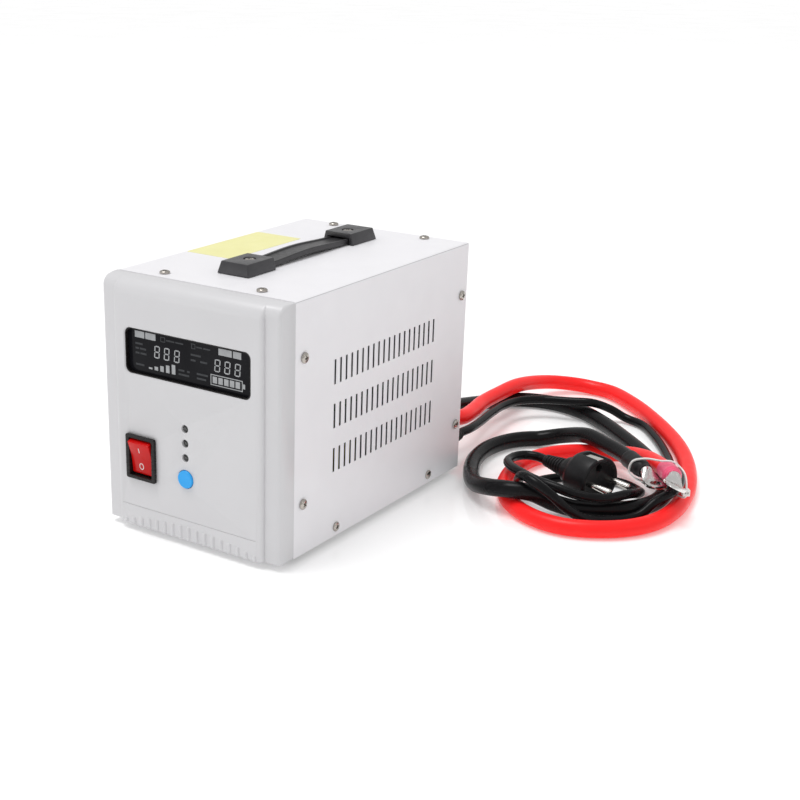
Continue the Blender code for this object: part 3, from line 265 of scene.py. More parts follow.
def turnedForm(profile, steps=48):
    form = bmesh.new()
    points = [form.verts.new((r, 0, h)) for r, h in profile]
    edges = [form.edges.new(pair) for pair in zip(points, points[1:])]
    bmesh.ops.spin(form, geom=points + edges, cent=(0, 0, 0), axis=(0, 0, 1), angle=2 * math.pi, steps=steps,
                   use_merge=True)
    bmesh.ops.remove_doubles(form, verts=form.verts, dist=1e-6)
    bmesh.ops.recalc_face_normals(form, faces=form.faces)
    return form


def boxForm(low, high):
    form = bmesh.new()
    low = Vector(low)
    high = Vector(high)
    scale = Matrix.Diagonal((*(high - low), 1))
    bmesh.ops.create_cube(form, size=1, matrix=Matrix.Translation((low + high) / 2) @ scale)
    return form


def rodForm(start, end, radius, sides=32, endRadius=None):
    form = bmesh.new()
    start = Vector(start)
    along = Vector(end) - start
    turn = Vector((0, 0, 1)).rotation_difference(along).to_matrix().to_4x4()
    bmesh.ops.create_cone(form, cap_ends=True, segments=sides, radius1=radius, radius2=endRadius or radius,
                          depth=along.length, matrix=Matrix.Translation(start + along / 2) @ turn)
    return form


def toMesh(form, name, smooth=40):
    mesh = bpy.data.meshes.new(name)
    form.to_mesh(mesh)
    form.free()
    mesh.shade_smooth()
    mesh.set_sharp_from_angle(angle=math.radians(smooth))
    return mesh


def joinForms(*forms):
    whole = bmesh.new()
    for form in forms:
        mesh = bpy.data.meshes.new("part")
        form.to_mesh(mesh)
        form.free()
        whole.from_mesh(mesh)
        bpy.data.meshes.remove(mesh)
    return whole


def cutterObject(form):
    cutter = bpy.data.objects.new("cutter", toMesh(form, "cutter"))
    bpy.context.scene.collection.objects.link(cutter)
    cutter.hide_render = True
    return cutter


# Joins and cuts forms with the exact solver, rounds the edges and hands back a finished mesh.
def carve(form, joins=(), cuts=(), edge=0.0, segments=3, smooth=40, name="carved"):
    work = cutterObject(form)
    cutters = []
    for others, operation in ((joins, "UNION"), (cuts, "DIFFERENCE")):
        for other in others:
            cutter = cutterObject(other)
            cutters.append(cutter)
            step = work.modifiers.new("carve", "BOOLEAN")
            step.operation = operation
            step.solver = "EXACT"
            step.object = cutter
    if edge:
        step = work.modifiers.new("clean", "WELD")
        step.merge_threshold = 0.00001
        step = work.modifiers.new("edge", "BEVEL")
        step.width = edge
        step.segments = segments
        step.limit_method = "ANGLE"
        step.angle_limit = math.radians(32)
        step.miter_outer = "MITER_ARC"
    bpy.context.view_layer.update()
    seen = work.evaluated_get(bpy.context.evaluated_depsgraph_get())
    mesh = bpy.data.meshes.new_from_object(seen)
    mesh.name = name
    mesh.shade_smooth()
    mesh.set_sharp_from_angle(angle=math.radians(smooth))
    for cutter in [work, *cutters]:
        old = cutter.data
        bpy.data.objects.remove(cutter, do_unlink=True)
        bpy.data.meshes.remove(old)
    return mesh


def roundedOutline(width, height, radius, steps=8):
    points = []
    for quarter, (sideX, sideZ) in enumerate(((1, 1), (-1, 1), (-1, -1), (1, -1))):
        for i in range(steps + 1):
            angle = math.pi / 2 * (quarter + i / steps)
            points.append((sideX * (width / 2 - radius) + radius * math.cos(angle),
                           sideZ * (height / 2 - radius) + radius * math.sin(angle)))
    return points


# A plate standing in the front plane: outline in x and z, from one depth to another along y.
def platePrism(outline, centre, near, far):
    return loft([[(centre[0] + x, y, centre[1] + z) for x, z in outline] for y in (near, far)])


def setFinish(nodes, finish):
    for node in nodes:
        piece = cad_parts[node]
        piece.data.materials.clear()
        piece.data.materials.append(materials[finish])


def at(x, y, z):
    return caseOrigin + Vector((x, y, z))


# Leads
# Route points in metres in the case's own frame, the same as in the CAD source.
leads = {
    "red": {
        "radius": 0.0062,
        "route": [
            (0.044, 0.2387, 0.027), (0.044, 0.246, 0.0269), (0.045, 0.256, 0.0256),
            (0.049, 0.278, 0.0215), (0.045, 0.303, 0.019), (0.039, 0.331, 0.0176),
            (0.037, 0.365, 0.0165), (0.037, 0.392, 0.0157), (0.039, 0.424, 0.0112),
            (0.048, 0.452, 0.006), (0.067, 0.466, 0.003), (0.091, 0.466, 0.0016),
            (0.121, 0.447, 0.0016), (0.158, 0.412, 0.0016), (0.187, 0.378, 0.0016),
            (0.208, 0.346, 0.0016), (0.224, 0.313, 0.0016), (0.236, 0.279, 0.0016),
            (0.242, 0.243, 0.0016), (0.24, 0.215, 0.0016), (0.23, 0.193, 0.0016),
            (0.212, 0.176, 0.0016), (0.19, 0.167, 0.0016), (0.166, 0.17, 0.0016),
            (0.142, 0.185, 0.0016), (0.123, 0.213, 0.0016), (0.114, 0.245, 0.0016),
            (0.115, 0.274, 0.0016), (0.124, 0.296, 0.0016), (0.139, 0.311, 0.0016),
            (0.157, 0.318, 0.003), (0.178, 0.312, 0.0085), (0.198, 0.297, 0.014),
            (0.214, 0.28, 0.0176), (0.226, 0.264, 0.0208), (0.235, 0.249, 0.024),
        ],
    },
    "black": {
        "radius": 0.0062,
        "route": [
            (0.014, 0.2387, 0.027), (0.014, 0.246, 0.0269), (0.014, 0.256, 0.0256),
            (0.014, 0.285, 0.019), (0.016, 0.33, 0.0105), (0.019, 0.364, 0.0045),
            (0.028, 0.388, 0.0016), (0.046, 0.402, 0.0016), (0.07, 0.407, 0.0016),
            (0.098, 0.4, 0.0016), (0.126, 0.382, 0.0016), (0.15, 0.362, 0.0016),
            (0.174, 0.34, 0.0016), (0.198, 0.314, 0.0016), (0.216, 0.287, 0.0016),
            (0.225, 0.261, 0.0016), (0.224, 0.241, 0.0016), (0.216, 0.224, 0.0016),
            (0.201, 0.211, 0.0016), (0.186, 0.202, 0.002), (0.172, 0.193, 0.0065),
            (0.159, 0.183, 0.014), (0.144, 0.177, 0.0151), (0.127, 0.18, 0.0118),
            (0.108, 0.195, 0.0055), (0.091, 0.22, 0.002), (0.079, 0.248, 0.0016),
            (0.076, 0.277, 0.0016), (0.083, 0.302, 0.0016), (0.098, 0.318, 0.0025),
            (0.118, 0.323, 0.008), (0.14, 0.314, 0.0151), (0.163, 0.3, 0.0164),
            (0.182, 0.287, 0.017), (0.206, 0.266, 0.0174),
        ],
    },
    "mains": {
        "radius": 0.0035,
        "route": [
            (0.062, 0.2507, 0.018), (0.062, 0.256, 0.018), (0.062, 0.268, 0.0173),
            (0.059, 0.29, 0.016), (0.054, 0.318, 0.0148), (0.05, 0.346, 0.0128),
            (0.053, 0.37, 0.0115), (0.067, 0.385, 0.0113), (0.089, 0.392, 0.0124),
            (0.106, 0.399, 0.0125), (0.118, 0.408, 0.0072), (0.13, 0.412, 0.001),
            (0.147, 0.407, -0.0003), (0.17, 0.382, -0.0003), (0.192, 0.35, -0.0003),
            (0.211, 0.315, 0.0025), (0.221, 0.297, 0.0088), (0.231, 0.278, 0.0128),
            (0.237, 0.258, 0.0139), (0.238, 0.243, 0.0137), (0.232, 0.229, 0.0098),
            (0.226, 0.219, 0.0025), (0.218, 0.21, -0.0003), (0.209, 0.201, -0.0003),
            (0.199, 0.191, 0.001), (0.188, 0.183, 0.008), (0.177, 0.178, 0.018),
            (0.165, 0.176, 0.0252), (0.154, 0.18, 0.0266), (0.147, 0.187, 0.0216),
            (0.142, 0.196, 0.012), (0.138, 0.207, 0.0048), (0.136, 0.222, 0.0003),
            (0.137, 0.24, -0.0003), (0.149, 0.259, -0.0003), (0.17, 0.272, -0.0003),
            (0.19, 0.273, -0.0003), (0.206, 0.263, 0.001), (0.213, 0.246, 0.0066),
            (0.214, 0.224, 0.0132), (0.203, 0.205, 0.0132), (0.186, 0.197, 0.015),
            (0.169, 0.194, 0.0182), (0.154, 0.197, 0.0186), (0.139, 0.206, 0.0176),
            (0.126, 0.216, 0.016), (0.117, 0.228, 0.015), (0.1165, 0.2405, 0.0146),
            (0.1215, 0.2483, 0.0145), (0.13, 0.2502, 0.0145), (0.138, 0.2475, 0.0145),
        ],
    },
}
tie = {
    "width": 0.0024,
    "thickness": 0.0009,
    "across": (0.62, -0.78, 0.0),      # the bundle's direction, which the band's width follows
    "head": (0.2472, 0.2456, 0.0155),
    "headTurn": -50,
    "route": [
        (0.1968, 0.2641, 0.014), (0.203, 0.2625, 0.0103), (0.214, 0.262, 0.0097),
        (0.228, 0.2565, 0.0095), (0.239, 0.2515, 0.0094), (0.2465, 0.2468, 0.0115),
        (0.2475, 0.2452, 0.019), (0.244, 0.2475, 0.029), (0.234, 0.2525, 0.033),
        (0.222, 0.258, 0.0298), (0.208, 0.2635, 0.0266), (0.1982, 0.2653, 0.0215),
    ],
}


# Smooth curve through the points, sampled closely.
def smoothRoute(points, closed=False, perSpan=16):
    points = [Vector(p) for p in points]
    if closed:
        chain = [points[-1], *points, points[0], points[1]]
    else:
        chain = [2 * points[0] - points[1], *points, 2 * points[-1] - points[-2]]
    samples = []
    for p0, p1, p2, p3 in zip(chain, chain[1:], chain[2:], chain[3:]):
        t1 = math.sqrt((p1 - p0).length)
        t2 = t1 + math.sqrt((p2 - p1).length)
        t3 = t2 + math.sqrt((p3 - p2).length)
        for i in range(perSpan):
            t = t1 + (t2 - t1) * i / perSpan
            a1 = p0.lerp(p1, t / t1)
            a2 = p1.lerp(p2, (t - t1) / (t2 - t1))
            a3 = p2.lerp(p3, (t - t2) / (t3 - t2))
            b1 = a1.lerp(a2, t / t2)
            b2 = a2.lerp(a3, (t - t1) / (t3 - t1))
            samples.append(b1.lerp(b2, (t - t1) / (t2 - t1)))
    samples.append(chain[-2].copy())
    return samples


def runLength(points):
    return sum((b - a).length for a, b in zip(points, points[1:]))


def makeLead(name, settings, finish, node):
    floor = settings["radius"] + 0.00005
    points = [caseOrigin + p for p in smoothRoute(settings["route"])]
    for p in points:
        p.z = max(p.z, floor)
    curve = bpy.data.curves.new(name, "CURVE")
    curve.dimensions = "3D"
    curve.bevel_depth = settings["radius"]
    curve.bevel_resolution = 6
    curve.use_fill_caps = True
    spline = curve.splines.new("POLY")
    spline.points.add(len(points) - 1)
    for point, p in zip(spline.points, points):
        point.co = (*p, 1)
    spline.use_smooth = True
    piece = addObject(name, curve, finish, replaces=[node])
    return piece, points


# Turned shape laid along a direction, its own +Z pointing that way.
def aimed(form, place, direction):
    turn = Vector((0, 0, 1)).rotation_difference(Vector(direction)).to_matrix().to_4x4()
    form.transform(Matrix.Translation(place) @ turn)
    return form


def circleRing(centre, along, radius, sides=20):
    first = along.orthogonal().normalized()
    second = along.cross(first).normalized()
    return [centre + radius * (math.cos(a) * first + math.sin(a) * second)
            for a in (2 * math.pi * i / sides for i in range(sides))]


# Shrink sleeve: a close skin over the lead's last stretch and the start of the lug's barrel.
shrink = {"length": 0.024, "overBarrel": 0.006, "wall": 0.0006, "ripple": 0.00012}


def makeSleeve(name, points, radius, barrelRadius, finish):
    run = [p.copy() for p in points]
    along = (run[-1] - run[-2]).normalized()
    path = []
    left = shrink["length"]
    for a, b in zip(reversed(run[:-1]), reversed(run[1:])):
        path.append(b)
        left -= (b - a).length
        if left <= 0:
            break
    path = path[::-1]
    count = len(path)
    for i in range(1, 7):
        path.append(run[-1] + along * shrink["overBarrel"] * i / 6)
    rings = []
    for i, p in enumerate(path):
        before = path[max(i - 1, 0)]
        after = path[min(i + 1, len(path) - 1)]
        past = min(1.0, max(0.0, (i - count + 2) / 4))
        skin = shrink["wall"] + shrink["ripple"] * math.sin(2.3 * i)
        size = radius * (1 - past) + barrelRadius * past + skin
        rings.append(circleRing(p, (after - before).normalized(), size, 24))
    form = loft(rings)
    return addObject(name, carve(form, edge=0.0002, segments=2, name=name), finish)


# Crimp lug: hollow barrel, pressed neck and a round palm with a bolt hole.
lug = {"barrel": 0.011, "radius": 0.0047, "palm": 0.0155, "reach": 0.0190, "sheet": 0.0022, "hole": 0.0042}


def makeLug(name, points, roll, node):
    along = (points[-1] - points[-2]).normalized()
    start = points[-1] + along * 0.0003
    turn = along.to_track_quat("X", "Z").to_matrix() @ Matrix.Rotation(roll, 3, "X")
    half = lug["palm"] / 2
    centre = lug["barrel"] + lug["reach"] - half
    low = -lug["radius"]
    stations = []
    for share in (0, 0.15, 0.3, 0.45, 0.6, 0.75, 0.9, 1.0):
        x = lug["barrel"] - 0.0045 + share * 0.0095
        flat = share * share * (3 - 2 * share)
        ring = []
        for i in range(24):
            a = 2 * math.pi * i / 24
            y = lug["radius"] * math.cos(a) * (1 - flat) + half * 0.93 * math.cos(a) * flat
            zRound = lug["radius"] * math.sin(a)
            zFlat = low + lug["sheet"] / 2 + lug["sheet"] / 2 * max(-1, min(1, 2.2 * math.sin(a)))
            ring.append((x, y, zRound * (1 - flat) + zFlat * flat))
        stations.append(ring)
    neck = loft(stations)
    barrel = rodForm((0, 0, 0), (lug["barrel"] - 0.004, 0, 0), lug["radius"], 40)
    palm = rodForm((centre, 0, low), (centre, 0, low + lug["sheet"]), half, 56)
    web = boxForm((lug["barrel"] + 0.002, -half * 0.93, low + 0.00002),
                  (centre, half * 0.93, low + lug["sheet"] - 0.00002))
    hole = rodForm((centre, 0, -0.02), (centre, 0, 0.02), lug["hole"], 48)
    dent = rodForm((0.0088, 0, 0.0100), (0.0088, 0, 0.0030), 0.0018, 24, 0.0010)
    mesh = carve(barrel, joins=[neck, palm, web], cuts=[hole, dent], edge=0.00025, segments=2, name=name)
    mesh.transform(Matrix.Translation(start) @ turn.to_4x4())
    return addObject(name, mesh, "tinPlate", replaces=[node])


# Mains plug: ribbed tail, neck with grip bands, round head, earth contacts and two pins.
plug = {"turn": -18.8, "radius": 0.0183, "tail": 0.022, "neck": 0.028, "face": 0.054, "pin": 0.0024,
        "pinSpacing": 0.019, "pinLength": 0.019, "ribs": 7, "clipReach": 0.0166}


def makePlug(end):
    heading = math.radians(plug["turn"])
    direction = Vector((math.cos(heading), math.sin(heading), 0))
    start = end + direction * 0.0006
    profile = [(0, plug["face"] - 0.0022), (plug["radius"] - 0.0042, plug["face"] - 0.0022),
               (plug["radius"] - 0.0036, plug["face"]), (plug["radius"] - 0.0011, plug["face"]),
               (plug["radius"] - 0.0003, plug["face"] - 0.0004), (plug["radius"], plug["face"] - 0.0012),
               (plug["radius"], plug["neck"] + 0.0085), (plug["radius"] - 0.0006, plug["neck"] + 0.0072),
               (plug["radius"] - 0.0022, plug["neck"] + 0.0045),
               (plug["radius"] - 0.0052, plug["neck"] + 0.0022),
               (0.0108, plug["neck"] + 0.0010), (0.0100, plug["neck"]), (0.0096, plug["neck"] - 0.0040),
               (0.0093, plug["tail"] + 0.0006), (0.0088, plug["tail"])]
    pitch = (plug["tail"] - 0.002) / plug["ribs"]
    for i in range(plug["ribs"]):
        high = plug["tail"] - i * pitch
        size = 0.0072 - 0.0024 * i / (plug["ribs"] - 1)
        profile += [(size - 0.0009, high - 0.0002), (size - 0.0009, high - 0.35 * pitch),
                    (size, high - 0.42 * pitch), (size, high - 0.92 * pitch)]
    profile += [(0.0046, 0.0008), (0.0044, 0), (0, 0)]
    body = turnedForm(profile, 64)
    cuts = [boxForm((side * 0.0175 - 0.0014, -0.0042, plug["face"] - 0.015),
                    (side * 0.0175 + 0.0014, 0.0042, plug["face"] + 0.01)) for side in (-1, 1)]
    cuts.append(rodForm((0.0100, 0, plug["face"] - 0.02), (0.0100, 0, plug["face"] + 0.01), 0.0028, 32))
    mesh = carve(body, cuts=cuts, edge=0.0003, segments=2, name="mainsPlug")
    # local +Z along the plug, local X upright, so that the earth contacts sit above and below
    upright = Matrix((Vector((0, 0, 1)), direction.cross(Vector((0, 0, 1))) * -1, direction)).transposed()
    place = Matrix.Translation(start) @ upright.to_4x4()
    mesh.transform(place)
    body = addObject("mainsPlug", mesh, "blackPlastic", replaces=["mains_plug"])
    contacts = joinForms(*[boxForm((side * plug["clipReach"] - 0.0004, -0.0034, plug["face"] - 0.0148),
                                   (side * plug["clipReach"] + 0.0004, 0.0034, plug["face"] - 0.0012))
                           for side in (-1, 1)])
    contacts.transform(place)
    clips = addObject("plugEarthClips", carve(contacts, edge=0.00015, name="plugEarthClips"), "brightNickel")
    tip = plug["face"] + plug["pinLength"]
    pinProfile = [(0, tip), (plug["pin"] * 0.45, tip - 0.0001), (plug["pin"] * 0.8, tip - 0.0006),
                  (plug["pin"], tip - 0.0016), (plug["pin"], plug["face"] - 0.004), (0, plug["face"] - 0.004)]
    pins = []
    for side in (-1, 1):
        form = turnedForm(pinProfile, 32)
        form.transform(Matrix.Translation((0, side * plug["pinSpacing"] / 2, 0)))
        pins.append(form)
    form = joinForms(*pins)
    form.transform(place)
    pinPiece = addObject("plugPins", toMesh(form, "plugPins"), "brightNickel")
    return [body, clips, pinPiece]


def makeTie():
    points = [caseOrigin + p for p in smoothRoute(tie["route"], closed=True)[:-1]]
    across = Vector(tie["across"]).normalized() * tie["width"] / 2
    rings = []
    for i, p in enumerate(points):
        along = (points[(i + 1) % len(points)] - points[i - 1]).normalized()
        outward = along.cross(across).normalized() * tie["thickness"] / 2
        rings.append([p + across + outward, p - across + outward, p - across - outward, p + across - outward])
    band = addObject("cableTie", toMesh(loft(rings, closed=True), "cableTie", 50), "whiteNylon",
                     replaces=["cable_tie"])
    head = boxForm((-0.0022, -0.0026, -0.0024), (0.0022, 0.0026, 0.0024))
    slit = boxForm((-0.01, -0.0014, -0.0007), (0.01, 0.0014, 0.0007))
    mesh = carve(head, cuts=[slit], edge=0.0005, name="tieHead")
    turn = Matrix.Rotation(math.radians(tie["headTurn"]), 4, "Z")
    mesh.transform(Matrix.Translation(at(*tie["head"])) @ turn)
    return [band, addObject("tieHead", mesh, "whiteNylon")]


redLead, redPoints = makeLead("redLead", leads["red"], "redPvc", "red_battery_lead")
blackLead, blackPoints = makeLead("blackLead", leads["black"], "blackPvc", "black_battery_lead")
mainsLead, mainsPoints = makeLead("mainsLead", leads["mains"], "blackPvc", "mains_lead")
redParts = [makeSleeve("redSleeve", redPoints, leads["red"]["radius"], lug["radius"], "pinkShrink"),
            makeLug("redLug", redPoints, math.radians(-25), "red_lug")]
blackParts = [makeSleeve("blackSleeve", blackPoints, leads["black"]["radius"], lug["radius"], "blackShrink"),
              makeLug("blackLug", blackPoints, 0.0, "black_lug")]
plugParts = makePlug(mainsPoints[-1])
tieParts = makeTie()
print("leads laid:", [round(runLength(p), 3) for p in (redPoints, blackPoints, mainsPoints)])


# Front bezel
bezel = {
    "halfWidth": 0.07305,
    "bottom": 0.0010,
    "topGap": 0.0002,
    "wall": 0.0025,
    "topRadius": 0.0075,
    "edgeRadius": 0.0025,
    "panelHalf": 0.0615,
    "panelTopRadius": 0.0105,
    "panelEdgeRadius": 0.0028,
    "crease": (-0.058, 0.0566, 0.0150),
}
ribs = {"count": 17, "pitch": 0.0069, "radius": 0.0017, "proud": 0.0011, "low": 0.0050, "high": 0.0110}
window = {"width": 0.1040, "height": 0.0312, "belowTop": 0.0474, "radius": 0.0045, "flare": 0.0007}
controls = {"x": -0.0015, "lamps": (0.0798, 0.0697, 0.0596), "lampRadius": 0.0024,
            "button": 0.0446, "buttonRadius": 0.0062, "gap": 0.0004}
rocker = {"x": -0.0393, "z": 0.0513, "bodyWidth": 0.0220, "bodyHeight": 0.0280, "flange": 0.0017,
          "thickness": 0.0019, "wall": 0.0013, "play": 0.0006, "swing": 12.0, "pivotDepth": 0.0021}
caseHeight = coverHigh.z - coverLow.z
windowZ = caseHeight - window["belowTop"]


# A box whose top front edge and front side edges are rounded.
def softSlab(low, high, topRadius, sideRadius):
    form = boxForm(low, high)
    front = low[1]
    top = high[2]
    edges = [e for e in form.edges
             if all(abs(v.co.y - front) < 1e-6 and abs(v.co.z - top) < 1e-6 for v in e.verts)]
    bmesh.ops.bevel(form, geom=edges, offset=topRadius, segments=12, profile=0.5, affect="EDGES")
    edges = [e for e in form.edges
             if abs(abs(e.verts[0].co.x) - high[0]) < 1e-6 and abs(e.verts[0].co.x - e.verts[1].co.x) < 1e-6
             and all(v.co.y < front + topRadius + 1e-6 for v in e.verts)
             and any(v.co.y < front + topRadius - 1e-4 for v in e.verts)
             and not all(abs(v.co.z - low[2]) < 1e-6 for v in e.verts)]
    bmesh.ops.bevel(form, geom=edges, offset=sideRadius, segments=5, profile=0.5, affect="EDGES")
    return form


def ribForms():
    forms = []
    for i in range(ribs["count"]):
        x = (i - (ribs["count"] - 1) / 2) * ribs["pitch"]
        share = 2 * x / ((ribs["count"] - 1) * ribs["pitch"])
        top = ribs["low"] + (ribs["high"] - ribs["low"]) * (1 - share ** 2)
        r = ribs["radius"]
        profile = [(r * math.sin(a), top - r + r * math.cos(a))
                   for a in (math.pi / 2 * k / 6 for k in range(7))]
        form = turnedForm([*profile, (r, bezel["bottom"] + 0.0001), (0, bezel["bottom"] + 0.0001)], 28)
        form.transform(Matrix.Translation((x, -panelRaise + r - ribs["proud"], 0)))
        forms.append(form)
    return joinForms(*forms)


def makeBezel():
    half = bezel["halfWidth"]
    top = caseHeight - bezel["topGap"]
    wall = bezel["wall"]
    panel = bezel["panelHalf"]
    wings = softSlab((-half, 0, bezel["bottom"]), (half, bezelDepth, top), bezel["topRadius"],
                     bezel["edgeRadius"])
    raised = softSlab((-panel, -panelRaise, bezel["bottom"]), (panel, bezelDepth / 2, top),
                      bezel["panelTopRadius"], bezel["panelEdgeRadius"])
    hollow = boxForm((-half + wall, wall, bezel["bottom"] + wall),
                     (half - wall, bezelDepth + 0.01, top - wall - bezel["topRadius"] * 0.3))
    pocket = boxForm((-panel + wall, 0, bezel["bottom"] + wall),
                     (panel - wall, wall + 0.001, top - bezel["panelTopRadius"] - wall))
    opening = platePrism(roundedOutline(window["width"], window["height"], window["radius"], 8),
                         (0, windowZ), -0.01, 0.01)
    flare = window["flare"]
    wide = roundedOutline(window["width"] + 4 * flare, window["height"] + 4 * flare,
                          window["radius"] + 2 * flare, 8)
    narrow = roundedOutline(window["width"], window["height"], window["radius"], 8)
    chamfer = loft([[(x, -panelRaise - flare, windowZ + z) for x, z in wide],
                    [(x, -panelRaise + flare, windowZ + z) for x, z in narrow]])
    bodyW = rocker["bodyWidth"] / 2 + 0.0003
    bodyH = rocker["bodyHeight"] / 2 + 0.0003
    switchHole = boxForm((rocker["x"] - bodyW, -0.01, rocker["z"] - bodyH),
                         (rocker["x"] + bodyW, 0.01, rocker["z"] + bodyH))
    holes = [rodForm((controls["x"], -0.01, z), (controls["x"], 0.01, z),
                     controls["lampRadius"] + controls["gap"], 40) for z in controls["lamps"]]
    holes.append(rodForm((controls["x"], -0.01, controls["button"]),
                         (controls["x"], 0.01, controls["button"]),
                         controls["buttonRadius"] + controls["gap"], 64))
    left, right, z = bezel["crease"]
    crease = boxForm((left, -panelRaise - 0.001, z - 0.00018), (right, -panelRaise + 0.00035, z + 0.00018))
    mesh = carve(wings, joins=[raised, ribForms()],
                 cuts=[hollow, pocket, opening, chamfer, switchHole, *holes, crease],
                 edge=0.0003, segments=2, smooth=38, name="frontBezel")
    mesh.transform(Matrix.Translation(caseOrigin))
    return addObject("frontBezel", mesh, "panelPlastic", replaces=["front_bezel"])


makeBezel()
print("bezel made")


# Display
display = {
    "ink": 0.00006,             # the markings' thickness on the lens
    "inkShift": -0.0026,
    "frameWall": 0.0006,
    "frameLip": 0.0008,
}
segments = {"width": 0.0046, "height": 0.0085, "stroke": 0.0008, "slant": 0.08}


def makeDisplay():
    lensLow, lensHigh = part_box("display_window")
    halfW = (lensHigh.x - lensLow.x) / 2
    halfH = (lensHigh.z - lensLow.z) / 2
    lens = platePrism(roundedOutline(2 * halfW, 2 * halfH, 0.003, 6), (0, (lensLow.z + lensHigh.z) / 2),
                      lensLow.y, lensHigh.y)
    addObject("displayLens", carve(lens, edge=0.0002, name="displayLens"), "displayAcrylic",
              replaces=["display_window"])
    # black trim that lines the opening
    wall = display["frameWall"]
    width = window["width"] - 0.0003
    height = window["height"] - 0.0003
    outer = platePrism(roundedOutline(width, height, window["radius"], 8), (0, windowZ),
                       -panelRaise + display["frameLip"], 0.0002)
    lining = [(x * (width - 2 * wall) / width, z * (height - 2 * wall) / height)
              for x, z in roundedOutline(width, height, window["radius"], 8)]
    inner = platePrism(lining, (0, windowZ), -0.01, 0.01)
    mesh = carve(outer, cuts=[inner], name="displayTrim")
    mesh.transform(Matrix.Translation(caseOrigin))
    addObject("displayTrim", mesh, "switchPlastic")
    return lensLow.y


# Thin flat prisms standing on the lens, in the window's own x and z about its middle.
class Markings:
    def __init__(self, face):
        self.form = bmesh.new()
        self.face = face

    def shape(self, corners):
        corners = [(x + display["inkShift"], z) for x, z in corners]
        middleZ = caseOrigin.z + windowZ
        near = [self.form.verts.new((x, self.face - display["ink"], middleZ + z)) for x, z in corners]
        far = [self.form.verts.new((x, self.face + 0.00002, middleZ + z)) for x, z in corners]
        count = len(corners)
        self.form.faces.new(near)
        self.form.faces.new(far[::-1])
        for i in range(count):
            j = (i + 1) % count
            self.form.faces.new((near[i], far[i], far[j], near[j]))

    def bar(self, left, right, low, high):
        self.shape([(left, low), (right, low), (right, high), (left, high)])

    def outline(self, left, right, low, high, stroke):
        self.bar(left, right, high - stroke, high)
        self.bar(left, right, low, low + stroke)
        self.bar(left, left + stroke, low + stroke, high - stroke)
        self.bar(right - stroke, right, low + stroke, high - stroke)

    def digit(self, x, z, scale=1.0):
        w = segments["width"] * scale
        h = segments["height"] * scale
        s = segments["stroke"] * scale
        gap = s * 0.25

        def slanted(corners):
            self.shape([(x + cx + cz * segments["slant"], z + cz) for cx, cz in corners])

        for level in (0, h / 2, h):
            low = min(max(level - s / 2, 0), h - s)
            under, over = (0.6, 0.9) if level == h else (0.9, 0.6)
            slanted([(s * under + gap, low), (w - s * under - gap, low),
                     (w - s * over - gap, low + s), (s * over + gap, low + s)])
        for left in (0, w - s):
            for low in (0, h / 2):
                slanted([(left, low + s * 0.55), (left + s, low + s * 0.55),
                         (left + s, low + h / 2 - s * 0.55), (left, low + h / 2 - s * 0.55)])

    def done(self, name, finish):
        bmesh.ops.recalc_face_normals(self.form, faces=self.form.faces)
        addObject(name, toMesh(self.form, name, 20), finish)


def makeMarkings():
    lit = Markings(makeDisplay())
    dim = Markings(lit.face)
    # upper row: two pairs of filled boxes, with unlit symbols between them
    for left, right in ((-0.0428, -0.0346), (-0.0337, -0.0250), (0.0272, 0.0378), (0.0388, 0.0453)):
        lit.bar(left, right, 0.0090, 0.0134)
    for left, right in ((-0.0208, -0.0168), (0.0050, 0.0084)):
        dim.outline(left, right, 0.0092, 0.0128, 0.0006)
    for left, right in ((-0.0160, -0.0090), (-0.0082, -0.0016), (0.0092, 0.0140), (0.0148, 0.0206)):
        dim.bar(left, right, 0.0104, 0.0114)
    # three digits on each side, every stroke showing
    for x in (-0.0266, -0.0184, -0.0098, 0.0236, 0.0316, 0.0398):
        lit.digit(x, -0.0026)
    # unlit fields beside and under the digits, as short plain bars
    for left, right, z in ((-0.0426, -0.0362, 0.0042), (-0.0426, -0.0396, 0.0010), (-0.0388, -0.0334, 0.0010),
                           (-0.0426, -0.0392, -0.0022), (-0.0384, -0.0330, -0.0022), (0.0044, 0.0128, 0.0046),
                           (0.0044, 0.0084, 0.0010), (0.0122, 0.0180, 0.0010), (-0.0426, -0.0352, -0.0100),
                           (-0.0060, -0.0010, -0.0076), (-0.0060, 0.0030, -0.0104), (0.0092, 0.0184, -0.0074),
                           (0.0092, 0.0170, -0.0104), (0.0012, 0.0034, -0.0076)):
        dim.bar(left, right, z, z + 0.0013)
    # load bars stepping up and a battery with its bars
    for i in range(5):
        left = -0.0313 + 0.0049 * i
        lit.bar(left, left + 0.0030, -0.0109, -0.0097 + 0.0013 * i)
    lit.outline(0.0206, 0.0464, -0.0119, -0.0046, 0.0006)
    lit.bar(0.0466, 0.0483, -0.0098, -0.0067)
    for i in range(5):
        left = 0.0223 + 0.0046 * i
        lit.bar(left, left + 0.0036, -0.0104, -0.0060)
    lit.done("displayLit", "lcdSegment")
    dim.done("displayDim", "lcdDim")


makeMarkings()
print("display made")


# Switches and lamps
def shifted(mesh, place=None):
    mesh.transform(Matrix.Translation(caseOrigin if place is None else place))
    return mesh


